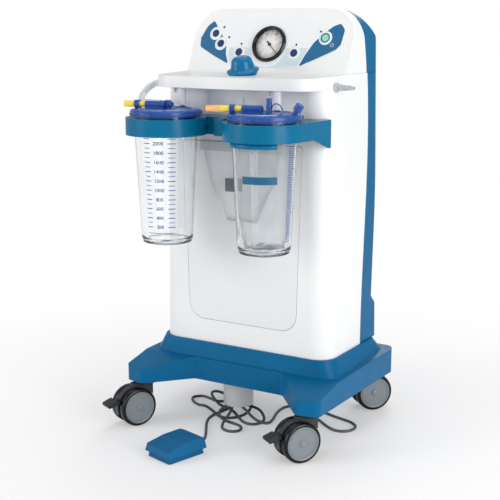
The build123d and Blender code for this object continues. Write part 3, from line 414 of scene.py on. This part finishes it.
def spline(name, points):
    """A curve object with one smooth spline, whose control points are in the frame's metres."""
    data = bpy.data.curves.new(name, "CURVE")
    data.dimensions = "3D"
    line = data.splines.new("NURBS")
    line.points.add(len(points) - 1)
    for spot, point in zip(line.points, points):
        spot.co = (*point, 1)
    line.order_u = 3
    line.use_endpoint_u = True
    piece = bpy.data.objects.new(name, data)
    bpy.context.scene.collection.objects.link(piece)
    return piece


def curve_points(points):
    """The centreline of a smooth spline through the frame's metres, as a list of points."""
    piece = spline("centreline", points)
    piece.data.resolution_u = 12
    bpy.context.view_layer.update()
    mesh = bpy.data.meshes.new_from_object(piece)
    found = [v.co.copy() for v in mesh.vertices]
    bpy.data.objects.remove(piece)
    return found


def cord_curve(name, route, diameter, material):
    """A round cord along a smooth spline whose control points are the route's."""
    piece = spline(name, [at(*point) for point in route])
    piece.data.resolution_u = 10
    piece.data.bevel_depth = diameter / 2000
    piece.data.bevel_resolution = 5
    piece.data.use_fill_caps = True
    return finish_piece(piece, material, "root")


# Camera, lights and floor
def camera():
    data = bpy.data.cameras.new("camera")
    data.lens, data.sensor_width = 77.98, 36.0
    data.clip_end = 60.0
    made = bpy.data.objects.new("camera", data)
    bpy.context.scene.collection.objects.link(made)
    made.location = at(1110.4, -1927.6, 821.5)
    made.rotation_euler = (math.radians(78.2), 0, math.radians(30.9))
    bpy.context.scene.camera = made


def softbox(name, location, target, size, power):
    data = bpy.data.lights.new(name, "AREA")
    data.shape = "RECTANGLE"
    data.size, data.size_y = size
    data.energy = power
    made = bpy.data.objects.new(name, data)
    bpy.context.scene.collection.objects.link(made)
    made.location = location
    made.rotation_euler = (Vector(target) - Vector(location)).to_track_quat("-Z", "Y").to_euler()


AMBIENT = 0.46


def camera_or_clear(tree):
    """1 for rays straight from the camera or through clear plastic, else 0."""
    path = tree.nodes.new("ShaderNodeLightPath")
    either = tree.nodes.new("ShaderNodeMath")
    either.operation = "MAXIMUM"
    link(tree, path.outputs["Is Camera Ray"], either.inputs[0])
    link(tree, path.outputs["Is Transmission Ray"], either.inputs[1])
    return either.outputs[0]


def set_level(node, strength, rgba=(1, 1, 1, 1)):
    node.inputs["Color"].default_value, node.inputs["Strength"].default_value = rgba, strength


def world():
    made = bpy.data.worlds.new("studio")
    bpy.context.scene.world = made
    made.use_nodes = True
    tree = made.node_tree
    tree.nodes.clear()
    out = tree.nodes.new("ShaderNodeOutputWorld")
    ambient, seen = tree.nodes.new("ShaderNodeBackground"), tree.nodes.new("ShaderNodeBackground")
    set_level(ambient, AMBIENT)
    set_level(seen, 1.0)
    either = camera_or_clear(tree)
    mix = tree.nodes.new("ShaderNodeMixShader")
    link(tree, either, mix.inputs[0])
    link(tree, ambient.outputs[0], mix.inputs[1])
    link(tree, seen.outputs[0], mix.inputs[2])
    link(tree, mix.outputs[0], out.inputs["Surface"])


def floor():
    made = bpy.data.materials.new("floor_pale")
    made.use_nodes = True
    tree = made.node_tree
    tree.nodes.clear()
    out = tree.nodes.new("ShaderNodeOutputMaterial")
    paper = tree.nodes.new("ShaderNodeBsdfDiffuse")
    paper.inputs["Color"].default_value = (0.93, 0.93, 0.94, 1)
    glow = tree.nodes.new("ShaderNodeEmission")
    set_level(glow, 1.0)
    coordinates = tree.nodes.new("ShaderNodeTexCoord")
    reach = tree.nodes.new("ShaderNodeVectorMath")
    reach.operation = "LENGTH"
    link(tree, coordinates.outputs["Object"], reach.inputs[0])
    fade = tree.nodes.new("ShaderNodeMapRange")
    fade.inputs["From Min"].default_value, fade.inputs["From Max"].default_value = 0.35, 1.1
    fade.inputs["To Min"].default_value, fade.inputs["To Max"].default_value = 0.35, 1.0
    link(tree, reach.outputs["Value"], fade.inputs["Value"])
    either = camera_or_clear(tree)
    share = tree.nodes.new("ShaderNodeMath")
    share.operation = "MULTIPLY"
    link(tree, fade.outputs["Result"], share.inputs[0])
    link(tree, either, share.inputs[1])
    mix = tree.nodes.new("ShaderNodeMixShader")
    link(tree, share.outputs[0], mix.inputs[0])
    link(tree, paper.outputs[0], mix.inputs[1])
    link(tree, glow.outputs[0], mix.inputs[2])
    link(tree, mix.outputs[0], out.inputs["Surface"])
    data = bpy.data.meshes.new("floor")
    data.from_pydata([(-20, -20, 0), (20, -20, 0), (20, 20, 0), (-20, 20, 0)], [], [(0, 1, 2, 3)])
    plane = bpy.data.objects.new("floor", data)
    bpy.context.scene.collection.objects.link(plane)
    data.materials.append(made)


camera()
world()
floor()
softbox("key_light", (-2.2, -2.4, 1.3), (0, 0, 0.5), (1.5, 1.6), 40)
softbox("side_light", (2.7, -0.9, 1.0), (0, 0, 0.45), (1.6, 1.8), 46)
softbox("top_light", (0.1, 0.2, 3.0), (0, 0, 0), (1.8, 1.8), 16)
softbox("back_light", (-0.6, 2.6, 1.8), (0, 0, 0.5), (1.6, 1.4), 22)
bpy.context.scene.view_settings.view_transform = "Standard"


# Cords and hoses
def pedal_point(along):
    """A point on the pedal's middle line, at the height where its cord leaves."""
    x, y = PEDAL_CENTRE
    return (x - along * math.sin(PEDAL_TURN), y + along * math.cos(PEDAL_TURN), 6.2)


def pedal_cord():
    """The run from the pedal, the loose loops under the base, and the run to the gland."""
    hank = [(-80, -60, 3.2), (-76, -34, 3.2), (-82, -8, 3.2), (-96, 16, 3.2), (-108, 38, 3.2),
            (-102, 58, 3.2), (-82, 58, 3.2), (-62, 38, 3.2), (-46, 12, 3.2), (-32, -18, 3.2),
            (-26, -50, 3.2), (-36, -80, 3.2), (-62, -92, 3.2), (-92, -80, 12.5), (-118, -66, 12.5),
            (-146, -50, 3.2), (-172, -34, 3.2), (-186, -12, 3.2), (-172, 6, 3.2), (-148, 0, 3.2),
            (-122, -10, 3.2), (-94, -12, 9.8), (-62, -12, 9.8), (-32, -12, 9.8), (-4, -22, 9.8),
            (18, -42, 3.2), (30, -68, 3.2), (20, -92, 3.2), (-6, -92, 3.2), (-34, -72, 10.2),
            (-62, -54, 13.1), (-96, -36, 6.1), (-126, -18, 12), (-150, 8, 14.6), (-150, 34, 10),
            (-128, 40, 3.2), (-106, 22, 3.2), (-88, -6, 16.6), (-68, -34, 16.6), (-50, -62, 18.8),
            (-40, -92, 14), (-37, -122, 6), (-24, -146, 3.2), (0, -150, 3.2), (14, -134, 3.2),
            (4, -112, 3.2), (-24, -104, 3.2), (-48, -102, 3.2), (-70, -90, 12.5), (-62, -66, 24),
            (-38, -56, 27), (-14, -63, 19)]
    start = [pedal_point(58), pedal_point(76), (-66, -140, 3.2), (-80, -112, 3.2), (-84, -84, 3.2)]
    end = [(4, -72, 12), (26, -84, 9.8), (44, -72, 3.2), (40, -44, 3.2), (25, -2, 3.2), (22, 40, 3.2),
           (50, 62, 3.2), (90, 64, 3.2), (126, 44, 3.2), (160, 34, 3.2), (192, 26, 3.2),
           (212, 4, 3.2), (206, -26, 3.2), (180, -36, 3.2), (150, -18, 3.2), (124, 4, 3.2),
           (96, 20, 3.2), (68, 29, 12), (60, 30, 52), (60, 30, 74)]
    route = start + hank + end
    piece = cord_curve("pedal_cord", route, 6.0, CORD)
    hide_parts("cord_front_run", "cord_hank", "cord_rear_run")


def suction_hose():
    """The milky hose from the head's left nozzle down to the left lid's elbow."""
    turn = math.radians(164)

    def arm(reach):
        return (-JAR_X + reach * math.cos(turn), JAR_Y + 8 + reach * math.sin(turn), 669.5)

    route = [(SHELL_WALL_X - 19, -66, HOSE_Z), (-228, -66.5, 702.5), (-240, -74, 695), (-243, -88, 686),
             (-239, -105, 678), (-229, -123, 673), (-213, -142, 670), (-196, -160, 669),
             (-178, -174, 669.3), (-160, -182.6, 669.5), arm(34), arm(20)]
    piece = cord_curve("suction_hose", route, 13.0, HOSE)
    return piece


def ring_profile(radius, start, end, ribs, height):
    """A ribbed sleeve's outside, as (radius, along) points."""
    points = []
    for i in range(ribs * 6 + 1):
        t = i / (ribs * 6)
        rib = 0.5 - 0.5 * math.cos(2 * math.pi * ribs * t)
        points.append((radius + height * rib, start + (end - start) * t))
    return points


def hose_cuff(hose):
    across = placed((SHELL_WALL_X, -66, HOSE_Z), Vector((0, 1, 0)), Vector((0, 0, 1)))
    ribs = ring_profile(7.4, 1.2, 18.0, 4, 1.1)
    profile = [(6.9, 0.6), (8.0, 0.6)] + ribs + [(6.9, 19.0), (6.0, 19.2), (5.8, 17)]
    lathe("hose_cuff", profile, across @ Matrix.Rotation(math.pi, 4, "X"), SOFT_WHITE)
    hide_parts("clear_hose")


# The control face
def face_matrix(u=0.0, v=0.0, w=0.0):
    return placed(on_face(u, v, w), Vector((1, 0, 0)), FACE_UP)


button_spots = {"top_left": (-132.0, 22.0), "mid_left": (-115.0, 0.0), "low_left": (-67.0, -18.0),
                "low_right": (61.0, -18.5), "power": (125.0, 13.5)}
led_spots = [(-115.0, 36.0), (-98.0, 14.0), (-65.0, 0.0), (63.0, -1.0), (112.0, 27.0)]
BUTTON_HOLE = 9.0


def overlay_prints():
    left = rounded([(-142, 50), (-131, 37), (-119, 24), (-112, 12), (-101, -4), (-98, -22), (-88, -43.5),
                    (-126, -27), (-164.5, -7), (-167, 12), (-156, 38)],
                   [3, 4, 12, 8, 10, 30, 2, 40, 10, 12, 20])
    right = rounded([(153, 44), (164, 31), (161, 0), (152, -10), (118, -27), (77, -46.5), (86, -24),
                     (101, 4), (112, 14), (128, 30), (138, 38)], [7, 9, 12, 12, 60, 2, 40, 30, 10, 14, 20])
    for side, outline, holes in (("left", left, ("top_left", "mid_left")), ("right", right, ("power",))):
        cut = [circle(*button_spots[name], BUTTON_HOLE) for name in holes]
        flat_plate(f"{side}_blue_field", [outline] + cut, face_matrix(0, 0, OVERLAY_TOP + 0.1), 0.16,
                   FIELD)
    tint = [(-92, -8), (-42, -8), (-40, -16), (-36, -28), (-30, -38), (-20, -46), (0, -50), (20, -46),
            (30, -38), (36, -28), (40, -16), (42, -8), (92, -8), (84, -22), (74, -44), (40, -48.5),
            (0, -51), (-40, -49), (-84, -43.5), (-92, -26)]
    cut = [circle(*button_spots[name], BUTTON_HOLE) for name in ("low_left", "low_right")]
    flat_plate("tinted_zone", [rounded(tint, 3, 3)] + cut, face_matrix(0, 0, OVERLAY_TOP + 0.07), 0.10,
               TINT)
    halo = [(9.4, 0.0), (14.2, 0.0), (14.4, -0.08), (14.4, -0.3), (9.4, -0.3)]
    for name, spot in button_spots.items():
        lathe(f"{name}_halo", halo, face_matrix(*spot, OVERLAY_TOP + 0.30), PRINT_WHITE,
              closed=True)
    rim = [(2.25, 0.0), (3.4, 0.0), (3.5, -0.1), (3.5, -0.25), (2.25, -0.25)]
    for i, spot in enumerate(led_spots):
        lathe(f"lamp_rim_{i}", rim, face_matrix(*spot, OVERLAY_TOP + 0.34), PRINT_WHITE,
              closed=True, segments=24)


def power_mark():
    """The plain line in a broken circle that any switch may carry."""
    origin = face_matrix(142.0, -1.0, OVERLAY_TOP + 0.24)
    lathe("power_mark_circle", [(3.1, -0.05), (3.9, -0.05), (3.9, 0.05), (3.1, 0.05)], origin, PRINT_WHITE,
          closed=True, segments=30, arc=math.radians(290), start=math.radians(125))
    flat_plate("power_mark_line", [[(-0.4, 0.8), (0.4, 0.8), (0.4, 4.8), (-0.4, 4.8)]], origin, 0.1,
               PRINT_WHITE)


DIAL_LEVEL = -2.1
DIAL_START, DIAL_SWEEP = 225.0, -270.0


def dial_angle(share):
    return math.radians(DIAL_START + DIAL_SWEEP * share)


def tick(share, inner, outer, width):
    """One printed mark of the dial, at a share of its sweep."""
    a = dial_angle(share)
    along, across = Vector((math.cos(a), math.sin(a))), Vector((-math.sin(a), math.cos(a)))
    corners = [along * inner - across * width / 2, along * outer - across * width / 2,
               along * outer + across * width / 2, along * inner + across * width / 2]
    data = bpy.data.meshes.new("tick")
    data.from_pydata([(c.x / 1000, c.y / 1000, 0) for c in corners], [], [(0, 1, 2, 3)])
    made = bpy.data.objects.new("tick", data)
    bpy.context.scene.collection.objects.link(made)
    made.data.transform(face_matrix(0, 0, DIAL_LEVEL + 0.06))
    return made


def dial_number(share, number, radius, size):
    a = dial_angle(share)
    spot = face_matrix(radius * math.cos(a), radius * math.sin(a), DIAL_LEVEL + 0.06)
    return words(str(number), size, spot)


def gauge_dial():
    """Pale dial with an outer black scale, an inner red one, and plain numbers."""
    lathe("dial_plate", [(0.0, 0.0), (31.6, 0.0), (31.6, -0.06)], face_matrix(0, 0, DIAL_LEVEL), DIAL,
          segments=64)
    black, red = [], []
    for i in range(51):
        inner, width = (26.6, 0.7) if i % 5 == 0 else (28.6, 0.35)
        black.append(tick(i / 50, inner, 30.6, width))
    for i in range(31):
        inner, width = (19.2, 0.5) if i % 5 == 0 else (20.6, 0.3)
        red.append(tick(i / 30, inner, 22.0, width))
    for i in range(60):
        red.append(tick((i + 0.5) / 60, 21.7, 22.0, 1.75))
    for i in range(6):
        black.append(dial_number(i / 5, i * 20, 24.6, 3.6))
    for i in range(7):
        red.append(dial_number(i / 6, i * 5, 16.6, 2.6))
    finish_piece(join("dial_black_scale", black), PRINT_BLACK, "root", smooth=False)
    finish_piece(join("dial_red_scale", red), PRINT_RED, "root", smooth=False)
    rim = [(31.7, -2.0), (32.9, -2.0), (32.9, 5.0), (32.2, 5.4), (31.7, 4.6)]
    lathe("dial_rim", rim, face_matrix(0, 0, 0), GLOSS_BLACK, closed=True, segments=72)


def power_ring():
    lathe("power_button_ring", [(8.05, 0), (9.2, 0.35), (9.9, 0.2), (9.9, -0.4), (8.05, -0.4)],
          face_matrix(*button_spots["power"], OVERLAY_TOP + 1.55), GLOSS_BLACK,
          closed=True)


# Jars
PRINT_LIFT = 0.25
SCALE_STEPS, SCALE_TOP, SCALE_PITCH = 10, 598.9, 18.02
BAG_TOP, BAG_FOOT = 646, 413


def jar_radius(z):
    share = (z - JAR_BOTTOM) / (JAR_TOP - JAR_BOTTOM)
    return JAR_FOOT_RADIUS + (JAR_TOP_RADIUS - JAR_FOOT_RADIUS) * share


def wrapped(piece, jar_side):
    """Bends a flat drawing, x as millimetres round the jar and y as height, round that jar."""
    for vertex in piece.data.vertices:
        x, z, out = vertex.co.x * 1000, vertex.co.y * 1000, vertex.co.z * 1000
        r = jar_radius(z) + PRINT_LIFT + out
        a = x / JAR_MEAN_RADIUS
        vertex.co = at(jar_side * JAR_X + r * math.sin(a), JAR_Y - r * math.cos(a), z)
    return piece


def strip(x_low, x_high, z_low, z_high, steps=4):
    """A flat bar in steps along x, to be wrapped round a jar."""
    vertices, faces = [], []
    for i in range(steps + 1):
        x = x_low + (x_high - x_low) * i / steps
        vertices += [(x / 1000, z_low / 1000, 0), (x / 1000, z_high / 1000, 0)]
        if i:
            faces.append((2 * i - 2, 2 * i, 2 * i + 1, 2 * i - 1))
    data = bpy.data.meshes.new("strip")
    data.from_pydata(vertices, [], faces)
    made = bpy.data.objects.new("strip", data)
    bpy.context.scene.collection.objects.link(made)
    return made


def degrees_round(angle):
    return math.radians(angle) * JAR_MEAN_RADIUS


def left_scale():
    """A printed scale of plain numbers, 200 to 2000, with ticks on both sides of them."""
    parts = []
    left, middle, right = degrees_round(-3), degrees_round(20), degrees_round(45)
    columns = ((left, 6.5), (right, 7.5))
    for i in range(SCALE_STEPS):
        z = SCALE_TOP - SCALE_PITCH * i
        spot = Matrix.Translation((middle / 1000, z / 1000, 0))
        parts.append(words(str(200 * (SCALE_STEPS - i)), 6.8, spot, bold=0.18))
        for x, half in columns:
            parts.append(strip(x - half, x + half, z - 0.75, z + 0.75))
            if i < SCALE_STEPS - 1:
                parts.append(strip(x - half + 1, x + half - 1, z - 9.6, z - 8.4))
    for x, half in columns:
        parts.append(strip(x - half, x + half, 607.4, 608.6))
    parts.append(strip(left - 6, right + 6, 424.2, 425.0, 16))
    scale = wrapped(join("left_jar_scale", parts), -1)
    finish_piece(scale, PRINT_BLUE, "root", smooth=False)


def right_prints():
    """Two dense ladders of graduations at the sides and one plain bar, with no words."""
    parts = []
    for low, high in ((-62, -42), (78, 99)):
        for i in range(44):
            z = 604 - 4.1 * i
            reach = 0 if i % 5 == 0 else 5.0
            parts.append(strip(degrees_round(low), degrees_round(high) - reach, z - 0.7, z + 0.7, 3))
    ladders = wrapped(join("right_jar_graduations", parts), 1)
    finish_piece(ladders, PRINT_BLUE, "root", smooth=False)
    bar = strip(degrees_round(-14), degrees_round(54), 536.5, 550.5, 20)
    bar = wrapped(join("right_jar_bar", [bar]), 1)
    finish_piece(bar, PRINT_TEAL, "root", smooth=False)


def jar_details():
    foot = [(38, 401.9), (39.5, 400.9), (46.5, 400.9), (48.2, 402.2), (47, 403.6), (39, 403.6)]
    for side, name in ((-1, "left"), (1, "right")):
        lathe(f"{name}_jar_foot_ring", foot, Matrix.Translation(at(side * JAR_X, JAR_Y, 0)), JAR,
              closed=True, segments=72)


def bag():
    """The crumpled clear liner that hangs in the right jar and has sunk together at its foot."""
    rings, count, vertices, faces = 46, 96, [], []
    for i in range(rings + 1):
        t = i / rings
        z = BAG_TOP - t * (BAG_TOP - BAG_FOOT)
        drawn = 1.0 if t < 0.6 else 1.0 - 0.10 * ((t - 0.6) / 0.4) ** 2
        for k in range(count):
            a = 2 * math.pi * k / count
            spot = Vector((math.cos(a) * 2.2, math.sin(a) * 2.2, t * 3.1))
            fold = noise.fractal(spot * 1.6, 0.9, 2.2, 4)
            crease = abs(noise.noise(Vector((math.cos(a) * 3.4, math.sin(a) * 3.4, t * 5.0 + 7))))
            depth = 0.6 + 2.6 * max(0.0, t - 0.15) + 12.0 * max(0.0, t - 0.72)
            r = (jar_radius(z) - 4.6) * drawn - depth * (0.55 + 0.45 * fold)
            r -= 2.2 * depth * crease * max(0, t - 0.4)
            r = max(4.0, min(r, jar_radius(z) - 3.4))
            height = z + fold * 3 * max(0, t - 0.5)
            vertices.append(at(JAR_X + r * math.cos(a), JAR_Y + r * math.sin(a), height))
    for i in range(rings):
        for k in range(count):
            m = (k + 1) % count
            faces.append((i * count + k, i * count + m, (i + 1) * count + m, (i + 1) * count + k))
    faces.append(tuple(rings * count + k for k in range(count)))
    piece = from_mesh("liner_bag_film", vertices, faces, FILM)
    thick = piece.modifiers.new("film", "SOLIDIFY")
    thick.thickness = 0.0004
    thick.offset = -1
    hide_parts("liner_bag")


def teal_lip():
    """The carrier's lip below the right ring, as a bar swept round the jar."""
    section = ((64.4, 613), (67.5, 613), (67.5, 602), (66.9, 601), (65.0, 601), (64.4, 602))
    vertices, faces, steps = [], [], 40
    for i in range(steps + 1):
        a = math.radians(-39 + 89 * i / steps)
        for r, z in section:
            vertices.append(at(JAR_X + r * math.sin(a), JAR_Y - r * math.cos(a), z))
        if i:
            for k in range(6):
                m = (k + 1) % 6
                faces.append((6 * (i - 1) + k, 6 * i + k, 6 * i + m, 6 * (i - 1) + m))
    faces += [tuple(range(6)), tuple(6 * steps + k for k in range(6))[::-1]]
    from_mesh("carrier_inner_lip", vertices, faces, TEAL)


# Lids
def small_tube(name, points, diameter):
    """A thin tether of the lids' plastic along a smooth spline, as a mesh."""
    sides, vertices, faces = 14, [], []
    line = curve_points([tuple(at(*point)) for point in points])
    normal = None
    for i, point in enumerate(line):
        ahead = (line[min(i + 1, len(line) - 1)] - line[max(i - 1, 0)]).normalized()
        if normal is None:
            normal = ahead.orthogonal().normalized()
        normal = (normal - ahead * normal.dot(ahead)).normalized()
        side = ahead.cross(normal)
        for k in range(sides):
            a = 2 * math.pi * k / sides
            vertices.append(point + (normal * math.cos(a) + side * math.sin(a)) * diameter / 2000)
    for i in range(len(line) - 1):
        for k in range(sides):
            m = (k + 1) % sides
            faces.append((i * sides + k, i * sides + m, (i + 1) * sides + m, (i + 1) * sides + k))
    faces += [tuple(range(sides))[::-1], tuple((len(line) - 1) * sides + k for k in range(sides))]
    from_mesh(name, vertices, faces, LID)


def lid_details():
    bead = [(66.6, 650.4), (70.2, 650.2), (70.6, 651.4), (70.2, 652.8), (66.8, 652.8)]
    step = [(50.0, 660.9), (52.0, 662.3), (53.4, 662.3), (55.4, 660.6)]
    for side, name in ((-1, "left"), (1, "right")):
        x = side * JAR_X
        matrix = Matrix.Translation(at(x, JAR_Y, 0))
        lathe(f"{name}_lid_bead", bead, matrix, LID, closed=True, segments=96)
        lathe(f"{name}_lid_step", step, matrix, LID, segments=96)
        for i in range(3):
            a = math.radians(35 + 120 * i)
            tab = placed((x + 69.6 * math.cos(a), JAR_Y + 69.6 * math.sin(a), 650),
                         Vector((-math.sin(a), math.cos(a), 0)), Vector((0, 0, 1)))
            outline = rounded([(-9, 0), (9, 0), (7, 7), (-7, 7)], 2, 3)
            soft_edges(flat_plate(f"{name}_lid_tab_{i}", [outline], tab, 3.0, LID), 0.6)


def tethers():
    right = [(17, -3, 661.5), (17, -6, 672), (26, -8, 681), (42, -14, 678), (50, -18, 664), (46, -30, 661)]
    left = [(28, 30, 662), (34, 14, 668), (40, -8, 668), (36, -34, 662.5), (28, -50, 660.5)]
    for name, side, line in (("right", 1, right), ("left", -1, left)):
        points = [(side * JAR_X + x, JAR_Y + y, z) for x, y, z in line]
        small_tube(f"{name}_cap_tether", points, 2.2)


def clear_spigot():
    """The clear fitting that stands behind the right lid's port."""
    profile = [(0, 646), (5.0, 646), (5.0, 668), (8.2, 669), (8.2, 673), (6.4, 674), (6.4, 681), (4.0, 683),
               (0, 683)]
    lathe("clear_spigot", profile, Matrix.Translation(at(22, -140, 0)), HOSE, segments=36)


def port_tip():
    """The pale orange end of the right port, stepped where a tube is pushed on."""
    along = Vector((math.cos(PORT_BEARING), math.sin(PORT_BEARING), 0))
    origin = Vector((JAR_X, JAR_Y, LID_TOP + 8.5)) + along * 65.3
    matrix = placed(origin, Vector((0, 0, 1)), along.cross(Vector((0, 0, 1))))
    profile = [(6.35, 17.0), (6.5, 19), (6.9, 23.5), (6.4, 24.5), (6.4, 30), (6.0, 31), (5.9, 44.2),
               (5.0, 45.4), (4.2, 45.4), (4.0, 40)]
    lathe("right_port_tip", profile, matrix, ORANGE)


# Casters
CASTERS = {"front_left": (-195.5, -175.0, 246.0), "front_right": (195.5, -175.0, 237.0),
           "rear_left": (-159.0, 122.0, 112.0), "rear_right": (159.0, 122.0, 48.0)}
AXLE_HEIGHT, AXLE_TRAIL, DISC_FACE = 40, 28, 25.4


def caster_details():
    """A hub and a groove on each wheel's disc, and a ring where each caster swivels."""
    hub = [(0, 2.0), (6.0, 2.0), (7.4, 1.2), (8.0, 0.0), (8.0, -0.6)]
    groove = [(27.6, 0.75), (28.2, 1.35), (29.2, 1.35), (29.8, 0.75)]
    ring = [(18.0, 87.0), (24.4, 86.6), (25.4, 88.0), (25.0, 90.6), (23.0, 91.6), (18, 91.6)]
    for name, (x, y, bearing) in CASTERS.items():
        angle = math.radians(bearing)
        along = Vector((math.cos(angle), math.sin(angle), 0))
        across = Vector((-math.sin(angle), math.cos(angle), 0))
        centre = Vector((x, y, AXLE_HEIGHT)) + along * AXLE_TRAIL
        for side, word in ((-1, "inner"), (1, "outer")):
            matrix = placed(centre + across * side * DISC_FACE, along, Vector((0, 0, -side)))
            wheels = f"wheels_{name}"
            lathe(f"hub_{word}_{name}", hub, matrix, DISC, wheels, segments=36)
            lathe(f"disc_groove_{word}_{name}", groove, matrix, DISC, wheels, segments=64)
        lathe(f"swivel_ring_{name}", ring, Matrix.Translation(at(x, y, 0)), MATTE_BLACK,
              body=f"caster_{name}", segments=48, closed=True)


pedal_cord()
hose_cuff(suction_hose())
overlay_prints()
power_mark()
power_ring()
gauge_dial()
left_scale()
right_prints()
jar_details()
bag()
teal_lip()
lid_details()
tethers()
clear_spigot()
port_tip()
caster_details()
